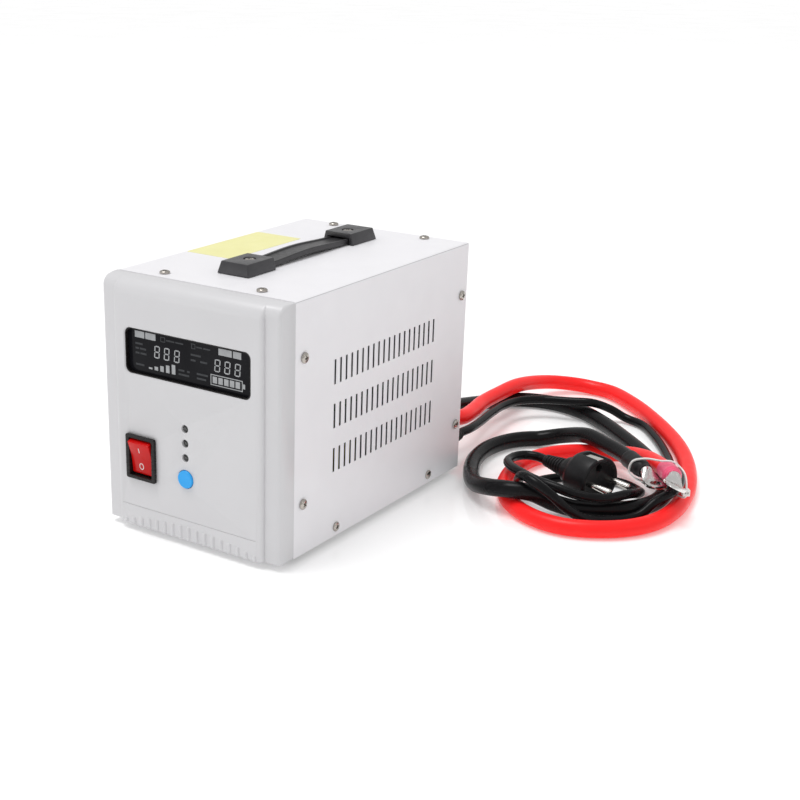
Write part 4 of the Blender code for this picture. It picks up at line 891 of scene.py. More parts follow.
def makeRocker():
    r = rocker
    width = r["bodyWidth"] + 2 * r["flange"]
    height = r["bodyHeight"] + 2 * r["flange"]
    front = -panelRaise - 0.0003 - r["thickness"]
    back = -panelRaise - 0.0003
    rim = platePrism(roundedOutline(width, height, 0.0014, 6), (r["x"], r["z"]), front, back)
    halfW = r["bodyWidth"] / 2
    halfH = r["bodyHeight"] / 2
    body = boxForm((r["x"] - halfW, back - 0.0005, r["z"] - halfH), (r["x"] + halfW, 0.0167, r["z"] + halfH))
    halfW -= r["wall"]
    halfH -= r["wall"] / 2
    cavity = boxForm((r["x"] - halfW, -0.02, r["z"] - halfH), (r["x"] + halfW, 0.0082, r["z"] + halfH))
    mesh = carve(rim, joins=[body], cuts=[cavity], edge=0.0005, segments=3, name="rockerHousing")
    addObject("rockerHousing", shifted(mesh), "switchPlastic", replaces=["rocker_housing"])

    reach = halfH - r["play"] - 0.0004

    def crown(z):
        return 0.0007 + 0.0012 * (abs(z) / reach) ** 1.35

    steps = 14
    face = []
    for i in range(steps + 1):
        z = (reach - 0.0004) * (1 - 2 * i / steps)
        face.append((crown(z), z))
    profile = [(-0.0035, reach), *face, (-0.0035, -reach), (-0.0062, -0.0040), (-0.0062, 0.0040)]
    halfX = halfW - r["play"]
    form = loft([[(x, -out, z) for out, z in profile] for x in (-halfX, halfX)])
    mesh = carve(form, edge=0.0004, segments=3, smooth=35, name="rocker")
    pivot = at(r["x"], -panelRaise - 0.0003 - r["thickness"] + r["pivotDepth"], r["z"])
    place = Matrix.Translation(pivot) @ Matrix.Rotation(math.radians(r["swing"]), 4, "X")
    mesh.transform(place)
    addObject("rocker", mesh, "redRocker", body="rocker", replaces=["rocker_button"])

    # printed stroke and ring, lying on the two halves of the rocker
    def onFace(x, z, lift):
        return (x, -(crown(z) + lift), z)

    ink = 0.00006
    root = -0.0001
    rings = []
    for i in range(9):
        z = 0.0040 + 0.0038 * i / 8
        rings.append([onFace(-0.0010, z, ink), onFace(-0.0004, z, ink),
                      onFace(-0.0004, z, root), onFace(-0.0010, z, root)])
    stroke = loft(rings)
    rings = []
    for i in range(40):
        a = 2 * math.pi * i / 40
        inner = (-0.0007 + 0.0014 * math.cos(a), -0.0063 + 0.0018 * math.sin(a))
        outer = (-0.0007 + 0.0020 * math.cos(a), -0.0063 + 0.0024 * math.sin(a))
        rings.append([onFace(*inner, ink), onFace(*outer, ink), onFace(*outer, root), onFace(*inner, root)])
    mesh = toMesh(joinForms(stroke, loft(rings, closed=True)), "rockerMarks", 30)
    mesh.transform(place)
    addObject("rockerMarks", mesh, "whiteMark", body="rocker")


def makeLamps():
    for number, z in enumerate(controls["lamps"], 1):
        low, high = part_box(f"lamp_{number}")
        r = controls["lampRadius"]
        depth = high.y - low.y
        profile = [(0, depth), *[(r * math.sin(a), depth - r + r * math.cos(a))
                                 for a in (math.pi / 2 * k / 8 for k in range(1, 9))],
                   (r, 0.0014), (0.0028, 0.0013), (0.0028, 0), (0, 0)]
        form = aimed(turnedForm(profile, 36), Vector((controls["x"], high.y, caseOrigin.z + z)), (0, -1, 0))
        addObject(f"lamp{number}", toMesh(form, "lamp", 35), "lampLens", replaces=[f"lamp_{number}"])


def makeButton():
    low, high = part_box("output_button")
    r = controls["buttonRadius"]
    depth = high.y - low.y
    profile = [(0, depth - 0.00025), (r * 0.5, depth - 0.0002), (r * 0.82, depth - 0.00005),
               (r * 0.92, depth - 0.0001),
               (r * 0.98, depth - 0.0005), (r, depth - 0.0011), (r, 0.0042), (r + 0.0014, 0.0040),
               (r + 0.0014, 0.0030), (0.0040, 0.0028), (0.0040, 0), (0, 0)]
    form = aimed(turnedForm(profile, 72), Vector((controls["x"], high.y, caseOrigin.z + controls["button"])),
                 (0, -1, 0))
    addObject("outputButton", toMesh(form, "outputButton", 32), "blueButton", body="output_key",
              replaces=["output_button"])


makeRocker()
makeLamps()
makeButton()
print("switches made")


# Screws
def screwHead(radius, height, cross=0.5, shaft=0.00145, length=0.006):
    profile = [(0, height)]
    for k in range(1, 9):
        a = math.pi / 2 * k / 8
        profile.append((radius * math.sin(a) ** 0.8, height * (0.35 + 0.65 * math.cos(a))))
    profile += [(radius, 0.0002), (radius - 0.0001, 0), (shaft, 0), (shaft, -length), (0, -length)]
    head = turnedForm(profile, 40)
    arm = radius * cross
    thin = radius * 0.13
    depth = height * 0.75
    cuts = [boxForm((-arm, -thin, height - depth), (arm, thin, height + 0.002)),
            boxForm((-thin, -arm, height - depth), (thin, arm, height + 0.002)),
            rodForm((0, 0, height - depth * 1.05), (0, 0, height + 0.001), thin * 0.8, 12, radius * 0.34)]
    return carve(head, cuts=cuts, edge=0.00008, segments=1, smooth=32, name="screw")


def placeScrew(name, mesh, place, direction, spin, node=None, finish="nickelPlate", body="case"):
    turn = Vector((0, 0, 1)).rotation_difference(Vector(direction)).to_matrix().to_4x4()
    matrix = Matrix.Translation(place) @ turn @ Matrix.Rotation(math.radians(spin), 4, "Z")
    return addObject(name, mesh, finish, body=body, replaces=[node] if node else (),
                     place=matrix)


screws = {"radius": 0.0036, "height": 0.0019, "lowRadius": 0.0034, "lowHeight": 0.0017, "lowZ": 0.0067,
          "lowY": (0.0650, 0.1863), "spin": (18, 47, 71, 33, 5, 62, 25, 80, 52, 38, 12, 66)}


def makeScrews():
    mesh = screwHead(screws["radius"], screws["height"])
    spins = iter(screws["spin"])
    half = coverHigh.x
    for number in range(1, 5):
        for side, direction in (("left", (-1, 0, 0)), ("right", (1, 0, 0)), ("top", (0, 0, 1))):
            node = f"{side}_screw_{number}"
            low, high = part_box(node)
            middle = (low + high) / 2
            if side == "top":
                place = Vector((middle.x, middle.y, high.z - screws["height"]))
            else:
                place = Vector((direction[0] * (high.x if side == "right" else -low.x), middle.y, middle.z))
                place.x -= direction[0] * screws["height"]
            placeScrew(f"{side}Screw{number}", mesh, place, direction, next(spins), node)
    small = screwHead(screws["lowRadius"], screws["lowHeight"], shaft=0.0012, length=0.0022)
    for side in (-1, 1):
        for i, y in enumerate(screws["lowY"]):
            placeScrew(f"lowScrew{'LR'[side > 0]}{i}", small, at(side * half, y, screws["lowZ"]),
                       (side, 0, 0), 20 + 50 * i)


makeScrews()
print("screws made")


# Handle
handle = {"capWidth": 0.0260, "taper": 0.0020, "screwRecess": 0.0043, "seatBelow": 0.0019,
          "corner": 0.0006, "strapWidth": 0.0174, "strapThickness": 0.0040, "rim": 0.0022,
          "rimHeight": 0.0009,
          "arch": 0.0016, "lift": 0.0006, "slotHalf": 0.0022, "slotReach": 0.0045}


def capOutline(width, near, far, corner, z):
    middle = (near + far) / 2
    return [(x, middle + y, z) for x, y in roundedOutline(width, abs(far - near), corner, 6)]


def makeHandle():
    h = handle
    screwPlaces = []
    for fore, out in (("front", -1), ("rear", 1)):
        low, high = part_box(f"handle_cap_{fore}")
        screwLow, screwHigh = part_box(f"handle_screw_{fore}")
        screwY = (screwLow.y + screwHigh.y) / 2
        screwPlaces.append(screwY)
        outer = low.y if out < 0 else high.y
        inner = high.y if out < 0 else low.y
        bottom = low.z
        top = high.z
        rings = [capOutline(h["capWidth"], outer, inner, h["corner"], bottom)]
        rings.append(capOutline(h["capWidth"] - 2 * h["taper"], outer - out * h["taper"], inner, h["corner"],
                                top))
        seat = top - h["seatBelow"]
        room = h["strapWidth"] / 2 + 0.0006
        stop = screwY + out * 0.0105
        mouth = inner - out * 0.01
        cavity = boxForm((-room, min(stop, mouth), coverTop - 0.001),
                         (room, max(stop, mouth), coverTop + h["lift"] + h["strapThickness"] + 0.0006))
        recess = rodForm((0, screwY, seat), (0, screwY, top + 0.002), h["screwRecess"], 48)
        bore = rodForm((0, screwY, bottom - 0.002), (0, screwY, top + 0.002), 0.0023, 24)
        mesh = carve(loft(rings), cuts=[cavity, recess, bore], edge=0.00045, segments=3, smooth=40,
                     name="handleCap")
        addObject(f"handleCap{fore.title()}", mesh, "handlePlastic", replaces=[f"handle_cap_{fore}"])
        screw = screwHead(0.0036, 0.0016, shaft=0.0014, length=0.0140)
        placeScrew(f"handleScrew{fore.title()}", screw, Vector((0, screwY, seat + 0.0003)), (0, 0, 1),
                   40 + 30 * out, f"handle_screw_{fore}")

    low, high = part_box("handle_strap")
    middle = (low.y + high.y) / 2
    free = (screwPlaces[1] - screwPlaces[0]) / 2 - 0.0123
    half = h["strapWidth"] / 2
    rim = h["rim"]
    drop = h["rimHeight"]
    base = low.z
    section = [(-half + 0.0006, 0), (half - 0.0006, 0), (half, 0.0007), (half, h["strapThickness"] - 0.0007),
               (half - 0.0006, h["strapThickness"]), (half - rim, h["strapThickness"]),
               (half - rim - 0.0005, h["strapThickness"] - drop), (0, h["strapThickness"] - drop),
               (-half + rim + 0.0005, h["strapThickness"] - drop), (-half + rim, h["strapThickness"]),
               (-half + 0.0006, h["strapThickness"]), (-half, h["strapThickness"] - 0.0007), (-half, 0.0007)]
    rings = []
    count = 64
    for i in range(count + 1):
        y = low.y + (high.y - low.y) * i / count
        offMiddle = (y - middle) / free
        rise = h["arch"] * math.cos(offMiddle * math.pi / 2) ** 2 if abs(offMiddle) < 1 else 0.0
        rings.append([(x, y, base + rise + z) for x, z in section])
    slots = [boxForm((-h["slotHalf"], y - h["slotReach"], base - 0.002),
                     (h["slotHalf"], y + h["slotReach"], base + 0.006)) for y in screwPlaces]
    mesh = carve(loft(rings), cuts=slots, smooth=30, name="handleStrap")
    addObject("handleStrap", mesh, "strapPlastic", body="strap", replaces=["handle_strap"])


makeHandle()
print("handle made")


# Case, inside and label
def soften(nodes, width, segments=2, angle=50):
    for node in nodes:
        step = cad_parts[node].modifiers.new("joined", "WELD")
        step.merge_threshold = 0.000005
        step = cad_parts[node].modifiers.new("softEdge", "BEVEL")
        step.width = width
        step.segments = segments
        step.limit_method = "ANGLE"
        step.angle_limit = math.radians(angle)


# Painted shade on the cover's inside, near-black so the vent slots read dark: everything deeper than the
# outer skin.
def paintInsideShade(material, halfWidth, top):
    tree = material.node_tree
    shader = tree.nodes["Principled BSDF"]
    painted = shader.inputs["Base Color"].links[0].from_socket
    place = addNode(tree, "ShaderNodeSeparateXYZ")
    link(tree, addNode(tree, "ShaderNodeTexCoord").outputs["Object"], place.inputs["Vector"])
    width = addNode(tree, "ShaderNodeMath", operation="ABSOLUTE")
    link(tree, place.outputs["X"], width.inputs[0])
    beside = spread(tree, width.outputs["Value"], 1.0, 0.0, halfWidth - 0.0003, halfWidth)
    under = spread(tree, place.outputs["Z"], 1.0, 0.0, top - 0.0003, top)
    inside = addNode(tree, "ShaderNodeMath", operation="MULTIPLY")
    link(tree, beside, inside.inputs[0])
    link(tree, under, inside.inputs[1])
    layer = addNode(tree, "ShaderNodeMix", data_type="RGBA")
    # painted shade: the near-black colour laid on the cover's inside faces
    layer.inputs[7].default_value = (0.05, 0.05, 0.052, 1)
    link(tree, inside.outputs["Value"], layer.inputs[0])
    link(tree, painted, layer.inputs[6])
    link(tree, layer.outputs[2], shader.inputs["Base Color"])


paintInsideShade(materials["powderCoat"], coverHigh.x - 0.0002, coverTop - 0.0004)
setFinish(["top_cover"], "powderCoat")
setFinish(["rear_panel"], "rearPaint")
setFinish(["base_pan", "front_plate"], "zincSteel")
setFinish(["display_board", "power_board"], "circuitBoard")
setFinish(["lcd_module"], "lcdBody")
setFinish(["tact_switch"], "blackPlastic")
setFinish(["heatsink_left", "heatsink_right"], "extrudedAlloy")
soften(["top_cover"], 0.00022)
soften(["base_pan", "rear_panel", "front_plate"], 0.00015, 1)
soften(["display_board", "power_board", "lcd_module", "tact_switch"], 0.0002, 1)
soften(["heatsink_left", "heatsink_right"], 0.0003, 1)


foot = {"radius": 0.0065, "height": 0.0037}


def makeFeet():
    r = foot["radius"]
    profile = [(0, 0), (0.0048, 0), (0.0062, 0.0004), (r, 0.0012), (r, foot["height"]), (0, foot["height"])]
    for word in ("front_left", "front_right", "rear_left", "rear_right"):
        low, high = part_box(f"foot_{word}")
        middle = (low + high) / 2
        form = turnedForm(profile, 40)
        form.transform(Matrix.Translation((middle.x, middle.y, low.z)))
        name = "foot" + word.title().replace("_", "")
        addObject(name, toMesh(form, name, 35), "softRubber", replaces=[f"foot_{word}"])


label = {"width": 0.0395, "length": 0.0830, "corner": 0.0012, "x": -0.0508, "y": 0.1265,
         "levels": (0.00001, 0.00012)}      # under and upper face above the cover


def makeLabel():
    outline = roundedOutline(label["width"], label["length"], label["corner"], 4)
    plate = loft([[(x, y, z) for x, y in outline] for z in label["levels"]])
    plate.transform(Matrix.Translation((label["x"], caseOrigin.y + label["y"], coverTop)))
    addObject("topLabel", toMesh(plate, "topLabel", 30), "yellowLabel")


transformer = {"inner": 0.0170, "round": 0.0090, "turns": 168, "groove": 0.0003,
               "ringWidth": 0.0175, "ringHeight": 0.023, "boltHead": 0.0065, "boltShank": 0.0040}


# Winding: many turns of wire under clear tape, as shallow ripples round the ring.
def makeTransformer():
    t = transformer
    low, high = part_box("toroidal_transformer")
    middle = (low + high) / 2
    outer = (high.x - low.x) / 2
    inner = t["inner"]
    tall = high.z - low.z
    r = t["round"]
    section = []
    for cx, cz, start in ((outer - r, r, -90), (outer - r, tall - r, 0), (inner + r * 0.6, tall - r, 90),
                          (inner + r * 0.6, r, 180)):
        for k in range(7):
            a = math.radians(start + 15 * k)
            wide = r if cx > (outer + inner) / 2 else r * 0.6
            section.append((cx + wide * math.cos(a), cz + r * math.sin(a)))
    rings = []
    centre = ((outer + inner) / 2, tall / 2)
    for i in range(t["turns"] * 2):
        a = math.pi * i / t["turns"]
        shrinkBy = t["groove"] if i % 2 else 0.0
        ring = []
        for rad, z in section:
            rad = centre[0] + (rad - centre[0]) * (1 - shrinkBy / t["ringWidth"])
            z = centre[1] + (z - centre[1]) * (1 - shrinkBy / t["ringHeight"])
            ring.append((middle.x + rad * math.cos(a), middle.y + rad * math.sin(a), low.z + z))
        rings.append(ring)
    addObject("transformer", toMesh(loft(rings, closed=True), "transformer", 60), "windingTape",
              replaces=["toroidal_transformer"])
    low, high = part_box("transformer_washer")
    profile = [(0.0045, 0), (0.0297, 0), (0.0300, 0.0003), (0.0300, 0.0016), (0.0296, 0.0020),
               (0.0240, 0.0020),
               (0.0225, 0.0014), (0.0090, 0.0014), (0.0075, 0.0020), (0.0045, 0.0020), (0.0045, 0)]
    form = turnedForm(profile, 72)
    form.transform(Matrix.Translation(((low.x + high.x) / 2, (low.y + high.y) / 2, low.z)))
    addObject("transformerWasher", toMesh(form, "transformerWasher", 30), "zincSteel",
              replaces=["transformer_washer"])
    low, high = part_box("transformer_bolt")
    head = rodForm((0, 0, high.z - low.z - 0.005), (0, 0, high.z - low.z), t["boltHead"], 6)
    shank = rodForm((0, 0, 0), (0, 0, high.z - low.z - 0.004), t["boltShank"], 24)
    mesh = carve(head, joins=[shank], edge=0.0004, segments=2, name="transformerBolt")
    mesh.transform(Matrix.Translation(((low.x + high.x) / 2, (low.y + high.y) / 2, low.z)))
    addObject("transformerBolt", mesh, "zincSteel", replaces=["transformer_bolt"])


def makeCapacitors():
    for number in (1, 2):
        low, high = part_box(f"capacitor_{number}")
        r = (high.x - low.x) / 2
        tall = high.z - low.z
        profile = [(0, tall - 0.0006), (r - 0.0024, tall - 0.0006), (r - 0.0022, tall - 0.0001),
                   (r - 0.0012, tall),
                   (r - 0.0003, tall - 0.0004), (r, tall - 0.0012), (r, 0.0050), (r - 0.0006, 0.0042),
                   (r - 0.0006, 0.0032), (r, 0.0026), (r, 0.0003), (r - 0.0004, 0), (0, 0)]
        form = turnedForm(profile, 48)
        form.transform(Matrix.Translation(((low.x + high.x) / 2, (low.y + high.y) / 2, low.z)))
        addObject(f"capacitor{number}", toMesh(form, "capacitor", 35), "capacitorSleeve",
                  replaces=[f"capacitor_{number}"])


# Small parts standing on the power board, seen through the vents.
def makeBoardParts():
    low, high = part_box("power_board")
    top = high.z
    blocks = []
    for i in range(4):
        y = low.y + 0.034 + 0.024 * i
        for side in (-1, 1):
            blocks.append(boxForm((side * 0.0190 - 0.0026, y, top + 0.0002),
                                  (side * 0.0190 + 0.0026, y + 0.0102, top + 0.0170)))
    blocks.append(boxForm((-0.0090, high.y - 0.0320, top + 0.0002), (0.0100, high.y - 0.0170, top + 0.0150)))
    mesh = carve(joinForms(*blocks), edge=0.0005, segments=2, name="boardBlocks")
    addObject("boardBlocks", mesh, "blackPlastic")
    cans = []
    for x, y, r, tall in ((-0.012, 0.012, 0.005, 0.016), (0.0, 0.012, 0.005, 0.016),
                          (0.012, 0.012, 0.005, 0.016),
                          (-0.008, 0.116, 0.004, 0.012), (0.006, 0.120, 0.004, 0.012)):
        form = turnedForm([(0, tall), (r - 0.0004, tall), (r, tall - 0.0004), (r, 0.0002), (0, 0.0002)], 28)
        form.transform(Matrix.Translation((x, low.y + y - 0.002, top)))
        cans.append(form)
    addObject("boardCans", toMesh(joinForms(*cans), "boardCans", 35), "capacitorSleeve")


makeFeet()
makeLabel()
makeTransformer()
makeCapacitors()
makeBoardParts()
print("case and inside made")


# Rear
rearWall = caseOrigin.y + 0.2303      # outer face of the rear panel
fan = {"radius": 0.0370, "hub": 0.0170, "bore": 0.0383, "blades": 7, "wire": 0.0010, "corner": 0.0045,
       "holeInset": 0.00425, "rings": (0.0140, 0.0220, 0.0300, 0.0380), "bladeHalf": 0.0006, "camber": 0.0011,
       "crossHalf": 0.0384, "crossWire": 0.0008}


def makeFanFrame(low, high):
    middle = (low + high) / 2
    half = (high.x - low.x) / 2
    plate = platePrism(roundedOutline(2 * half, 2 * half, fan["corner"], 6), (middle.x, middle.z), low.y,
                       high.y)
    waist = []
    for sideX in (-1, 1):
        for sideZ in (-1, 1):
            x = middle.x + sideX * (half - fan["holeInset"])
            z = middle.z + sideZ * (half - fan["holeInset"])
            waist.append(rodForm((x, low.y - 0.01, z), (x, high.y + 0.01, z), 0.0022, 24))
    bore = rodForm((middle.x, low.y - 0.01, middle.z), (middle.x, high.y + 0.01, middle.z), fan["bore"], 96)
    mesh = carve(plate, cuts=[bore, *waist], edge=0.0005, segments=2, smooth=35, name="fanShell")
    shell = bmesh.new()
    shell.from_mesh(mesh)
    motor = rodForm((middle.x, high.y - 0.003, middle.z), (middle.x, high.y, middle.z), 0.0160, 64)
    arms = []
    for i in range(3):
        arm = boxForm((-0.0020, -0.003, 0.0100), (0.0020, 0, fan["bore"] + 0.0008))
        arm.transform(Matrix.Translation((middle.x, high.y, middle.z))
                      @ Matrix.Rotation(math.radians(120 * i + 60), 4, "Y"))
        arms.append(arm)
    mesh = carve(shell, joins=[motor, *arms], smooth=35, name="fanFrame")
    addObject("fanFrame", mesh, "blackPlastic", replaces=["fan_frame"])


# Hub with swept blades that flatten and widen towards the tip.
def makeFanRotor(middle):
    chordSteps = (-1.0, -0.6, -0.2, 0.2, 0.6, 1.0)
    low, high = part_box("fan_rotor")
    axis = Vector((middle.x, (low.y + high.y) / 2, middle.z))
    tall = (high.y - low.y) / 2
    hub = fan["hub"]
    form = turnedForm([(0, tall), (hub - 0.0014, tall), (hub - 0.0004, tall - 0.0004), (hub, tall - 0.0014),
                       (hub, -tall), (0, -tall)], 72)
    form.transform(Matrix.Rotation(math.pi / 2, 4, "X"))
    blades = []
    for i in range(fan["blades"]):
        rings = []
        steps = 8
        for k in range(steps + 1):
            share = k / steps
            r = hub - 0.0008 + (fan["radius"] - hub + 0.0008) * share
            pitch = math.radians(52 - 18 * share)
            chord = 0.0150 + 0.0045 * share
            lean = math.radians(9) * share
            points = []
            for off, shares in ((fan["bladeHalf"], chordSteps), (-fan["bladeHalf"], chordSteps[::-1])):
                for s in shares:
                    camber = fan["camber"] * (1 - s * s)
                    along = s * chord / 2
                    sideways = along * math.sin(pitch) - camber * math.cos(pitch)
                    depth = along * math.cos(pitch) + camber * math.sin(pitch)
                    angle = sideways / r + lean + off / r
                    depth = max(-tall + 0.0004, min(tall - 0.0004, depth + off * 0.5))
                    points.append((r * math.sin(angle), depth, r * math.cos(angle)))
            rings.append(points)
        blade = loft(rings)
        blade.transform(Matrix.Rotation(2 * math.pi * i / fan["blades"], 4, "Y"))
        blades.append(blade)
    whole = joinForms(form, *blades)
    whole.transform(Matrix.Translation(axis))
    addObject("fanRotor", toMesh(whole, "fanRotor", 40), "blackPlastic", body="rotor", replaces=["fan_rotor"])


def makeFanGuard(middle):
    low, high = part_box("fan_guard")
    y = (low.y + high.y) / 2
    wire = fan["wire"]
    forms = []
    for radius in fan["rings"]:
        rings = []
        for i in range(96):
            a = 2 * math.pi * i / 96
            outward = Vector((math.cos(a), 0, math.sin(a)))
            centre = Vector((middle.x, y, middle.z)) + radius * outward
            rings.append([centre + wire * (math.cos(b) * outward + math.sin(b) * Vector((0, 1, 0)))
                          for b in (2 * math.pi * k / 12 for k in range(12))])
        forms.append(loft(rings, closed=True))
    for angle in (45, 135):
        across = Vector((math.cos(math.radians(angle)), 0, math.sin(math.radians(angle))))
        centre = Vector((middle.x, y - 0.0001, middle.z))
        forms.append(rodForm(centre - across * fan["crossHalf"], centre + across * fan["crossHalf"],
                             fan["crossWire"], 12))
    addObject("fanGuard", toMesh(joinForms(*forms), "fanGuard", 40), "brightNickel", replaces=["fan_guard"])


def makeFanScrews(middle, half):
    screw = screwHead(0.0032, 0.0017)
    for i, (sideX, sideZ) in enumerate(((-1, -1), (-1, 1), (1, -1), (1, 1))):
        place = Vector((middle.x + sideX * (half - fan["holeInset"]), rearWall,
                        middle.z + sideZ * (half - fan["holeInset"])))
        placeScrew(f"fanScrew{i + 1}", screw, place, (0, 1, 0), 25 + 31 * i, finish="brightNickel")


def makeFan():
    low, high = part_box("fan_frame")
    middle = (low + high) / 2
    makeFanFrame(low, high)
    makeFanRotor(middle)
    makeFanGuard(middle)
    makeFanScrews(middle, (high.x - low.x) / 2)


outlet = {"corner": 0.0040, "plate": 0.0030, "bodyRadius": 0.0212, "cup": 0.0170, "cupRadius": 0.0195,
          "leadIn": 0.0211, "contact": 0.0095, "contactRadius": 0.0026, "screw": 0.0195, "screwHole": 0.0026,
          "screwSink": 0.0009, "earthAbove": 0.0100}


def makeOutlet():
    o = outlet
    low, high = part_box("ac_outlet")
    x = (low.x + high.x) / 2
    z = (low.z + high.z) / 2
    front = high.y
    plate = platePrism(roundedOutline(high.x - low.x, high.z - low.z, o["corner"], 8), (x, z),
                       front - o["plate"], front)
    body = rodForm((x, low.y, z), (x, front - 0.0020, z), o["bodyRadius"], 80)
    floor = front - o["cup"]
    cup = rodForm((x, floor, z), (x, front + 0.01, z), o["cupRadius"], 96)
    mouth = rodForm((x, front - 0.0012, z), (x, front + 0.0004, z), o["cupRadius"] - 0.0001, 96, o["leadIn"])
    sockets = []
    screwHoles = []
    for side in (-1, 1):
        across = x + side * o["contact"]
        sockets.append(rodForm((across, floor - 0.004, z), (across, floor + 0.004, z),
                               o["contactRadius"], 32))
        across = x + side * o["screw"]
        up = z + side * o["screw"]
        screwHoles.append(rodForm((across, front - o["screwSink"], up), (across, front + 0.01, up),
                                  o["screwHole"], 32))
    mesh = carve(plate, joins=[body], cuts=[cup, mouth, *sockets, *screwHoles], edge=0.0006, segments=3,
                 smooth=35, name="acOutlet")
    addObject("acOutlet", mesh, "blackPlastic", replaces=["ac_outlet"])
    pin = turnedForm([(0, 0.0155), (0.0012, 0.0154), (0.0021, 0.0146), (0.0024, 0.0132), (0.0024, -0.001),
                      (0, -0.001)], 32)
    aimed(pin, Vector((x, floor - 0.0005, z + o["earthAbove"])), (0, 1, 0))
    addObject("outletEarthPin", toMesh(pin, "earthPin", 35), "brightNickel")
    screw = screwHead(0.0023, 0.0009, shaft=0.0008, length=0.001)
    for i, side in enumerate((-1, 1)):
        place = Vector((x + side * o["screw"], front - o["screwSink"], z + side * o["screw"]))
        placeScrew(f"outletScrew{i + 1}", screw, place, (0, 1, 0), 30 + 40 * i, finish="brightNickel")


breaker = {"neck": 0.0055, "bore": 0.0036, "nut": 0.0080, "nutBore": 0.00555, "push": 0.0032}


def makeBreaker():
    b = breaker
    low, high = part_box("breaker_body")
    x = (low.x + high.x) / 2
    z = (low.z + high.z) / 2
    inner = rearWall - 0.0013
    body = boxForm((low.x, low.y, low.z), (high.x, inner, high.z))
    neck = rodForm((x, inner - 0.002, z), (x, high.y, z), b["neck"], 48)
    bore = rodForm((x, inner + 0.0003, z), (x, high.y + 0.01, z), b["bore"], 40)
    mesh = carve(body, joins=[neck], cuts=[bore], edge=0.0004, segments=2, name="breakerBody")
    addObject("breakerBody", mesh, "blackPlastic", replaces=["breaker_body"])
    nut = rodForm((x, rearWall + 0.0003, z), (x, rearWall + 0.0025, z), b["nut"], 6)
    hole = rodForm((x, rearWall - 0.01, z), (x, rearWall + 0.01, z), b["nutBore"], 48)
    mesh = carve(nut, cuts=[hole], edge=0.0004, segments=2, name="breakerNut")
    addObject("breakerNut", mesh, "brightNickel")
    low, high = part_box("breaker_button")
    long = high.y - low.y
    push = turnedForm([(0, long - 0.0002), (0.0020, long - 0.0001), (0.0026, long - 0.0003),
                       (0.0031, long - 0.0009), (b["push"], long - 0.0018), (b["push"], 0), (0, 0)], 40)
    addObject("breakerButton", toMesh(aimed(push, Vector((x, low.y, z)), (0, 1, 0)), "breakerButton", 35),
              "whitePlastic", body="breaker_key", replaces=["breaker_button"])


# Strain-relief grommets: a flange on the panel and a tapering ribbed tail over the lead.
def makeGrommet(name, node, length, tailRadius, neck):
    low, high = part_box(node)
    x = (low.x + high.x) / 2
    z = (low.z + high.z) / 2
    flange = (high.x - low.x) / 2
    profile = [(0, length), (tailRadius - 0.0003, length), (tailRadius, length - 0.0004)]
    count = max(1, int((length - 0.0045) / 0.0030))
    for i in range(count):
        share = (i + 0.5) / count
        y = length - (length - 0.0040) * share
        r = tailRadius + (neck + 0.0005 - tailRadius) * share
        profile += [(r, y + 0.0007), (r - 0.0005, y + 0.0004), (r - 0.0005, y - 0.0004),
                    (r + 0.0001, y - 0.0007)]
    profile += [(neck + 0.0006, 0.0036), (flange - 0.0008, 0.0031), (flange - 0.0002, 0.0027),
                (flange, 0.0021),
                (flange, 0.0004), (flange - 0.0002, 0.0003), (neck, 0.0003), (neck, -0.0013),
                (neck + 0.0018, -0.0013), (neck + 0.0016, -0.0053), (0, -0.0053)]
    form = aimed(turnedForm(profile, 48), Vector((x, rearWall, z)), (0, 1, 0))
    addObject(name, toMesh(form, name, 32), "softRubber", replaces=[node])


makeFan()
makeOutlet()
makeBreaker()
makeGrommet("redGrommet", "red_grommet", 0.0080, 0.0062, 0.0072)
makeGrommet("blackGrommet", "black_grommet", 0.0080, 0.0062, 0.0072)
makeGrommet("mainsBoot", "mains_boot", 0.0200, 0.0046, 0.0056)
print("rear made")


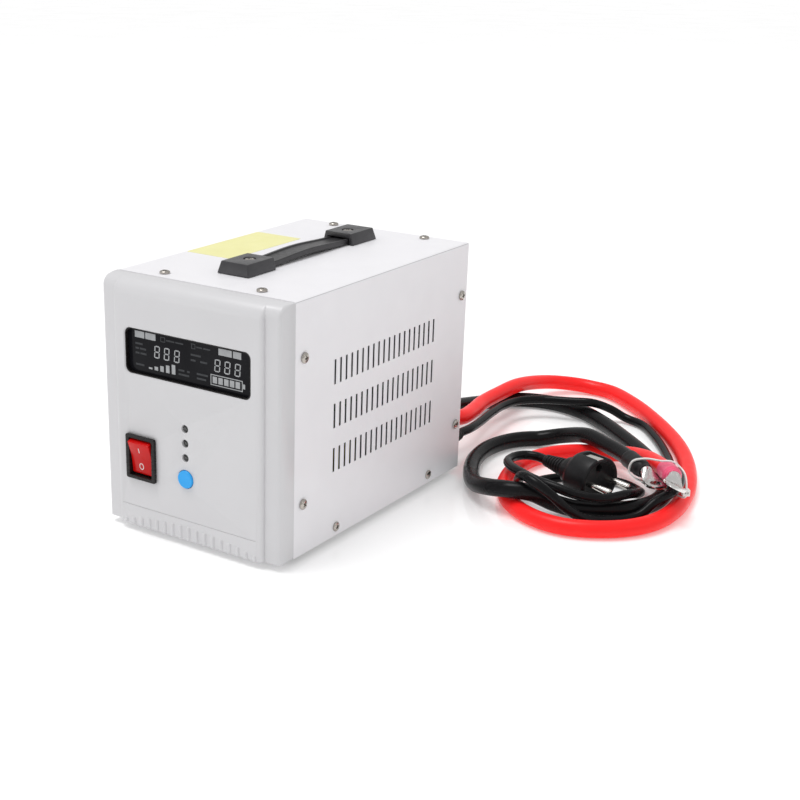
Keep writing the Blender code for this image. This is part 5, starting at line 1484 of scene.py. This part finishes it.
# Floor and light
lights = {
    "world": 0.64,
    "floorGlow": 0.19,
    "sun": {"towards": (-0.22, -0.12, 0.95), "power": 1.50, "spread": 30},
    "soft": [
        {"name": "frontSoft", "place": (-1.2, -1.9, 0.30), "aim": (0, 0, 0.10), "size": 0.8, "power": 2.6},
        {"name": "rightSoft", "place": (1.7, 0.2, 0.8), "aim": (0, 0, 0.08), "size": 1.0, "power": 1.2},
    ],
}


def makeStudio():
    floor = bpy.data.materials.new("studioFloor")
    floor.use_nodes = True
    tree = floor.node_tree
    shader = tree.nodes["Principled BSDF"]
    place = addNode(tree, "ShaderNodeTexCoord").outputs["Object"]
    link(tree, spread(tree, noiseNode(tree, place, 6, 3.0), 0.10, 0.16), shader.inputs["Roughness"])
    shader.inputs["Base Color"].default_value = (0.96, 0.96, 0.96, 1)
    shader.inputs["Emission Color"].default_value = (1, 1, 1, 1)
    shader.inputs["Emission Strength"].default_value = lights["floorGlow"]
    mesh = bpy.data.meshes.new("studioFloor")
    reach = 40.0
    mesh.from_pydata([(-reach, -reach, 0), (reach, -reach, 0), (reach, reach, 0), (-reach, reach, 0)], [],
                     [(0, 1, 2, 3)])
    mesh.materials.append(floor)
    ground = bpy.data.objects.new("studioFloor", mesh)
    bpy.context.scene.collection.objects.link(ground)

    world = bpy.data.worlds.new("studioWorld")
    world.use_nodes = True
    background = world.node_tree.nodes["Background"]
    background.inputs["Color"].default_value = (1, 1, 1, 1)
    background.inputs["Strength"].default_value = lights["world"]
    bpy.context.scene.world = world
    for lamp in lights["soft"]:
        data = bpy.data.lights.new(lamp["name"], "AREA")
        data.shape = "DISK"
        data.size = lamp["size"]
        data.energy = lamp["power"]
        light = bpy.data.objects.new(lamp["name"], data)
        bpy.context.scene.collection.objects.link(light)
        light.location = lamp["place"]
        light.rotation_euler = (Vector(lamp["aim"]) - light.location).to_track_quat("-Z", "Y").to_euler()
    data = bpy.data.lights.new("skySoft", "SUN")
    data.energy = lights["sun"]["power"]
    data.angle = math.radians(lights["sun"]["spread"])
    light = bpy.data.objects.new("skySoft", data)
    bpy.context.scene.collection.objects.link(light)
    light.rotation_euler = Vector(lights["sun"]["towards"]).to_track_quat("Z", "Y").to_euler()
    bpy.context.scene.view_settings.view_transform = "Standard"


makeStudio()

print("studio set")
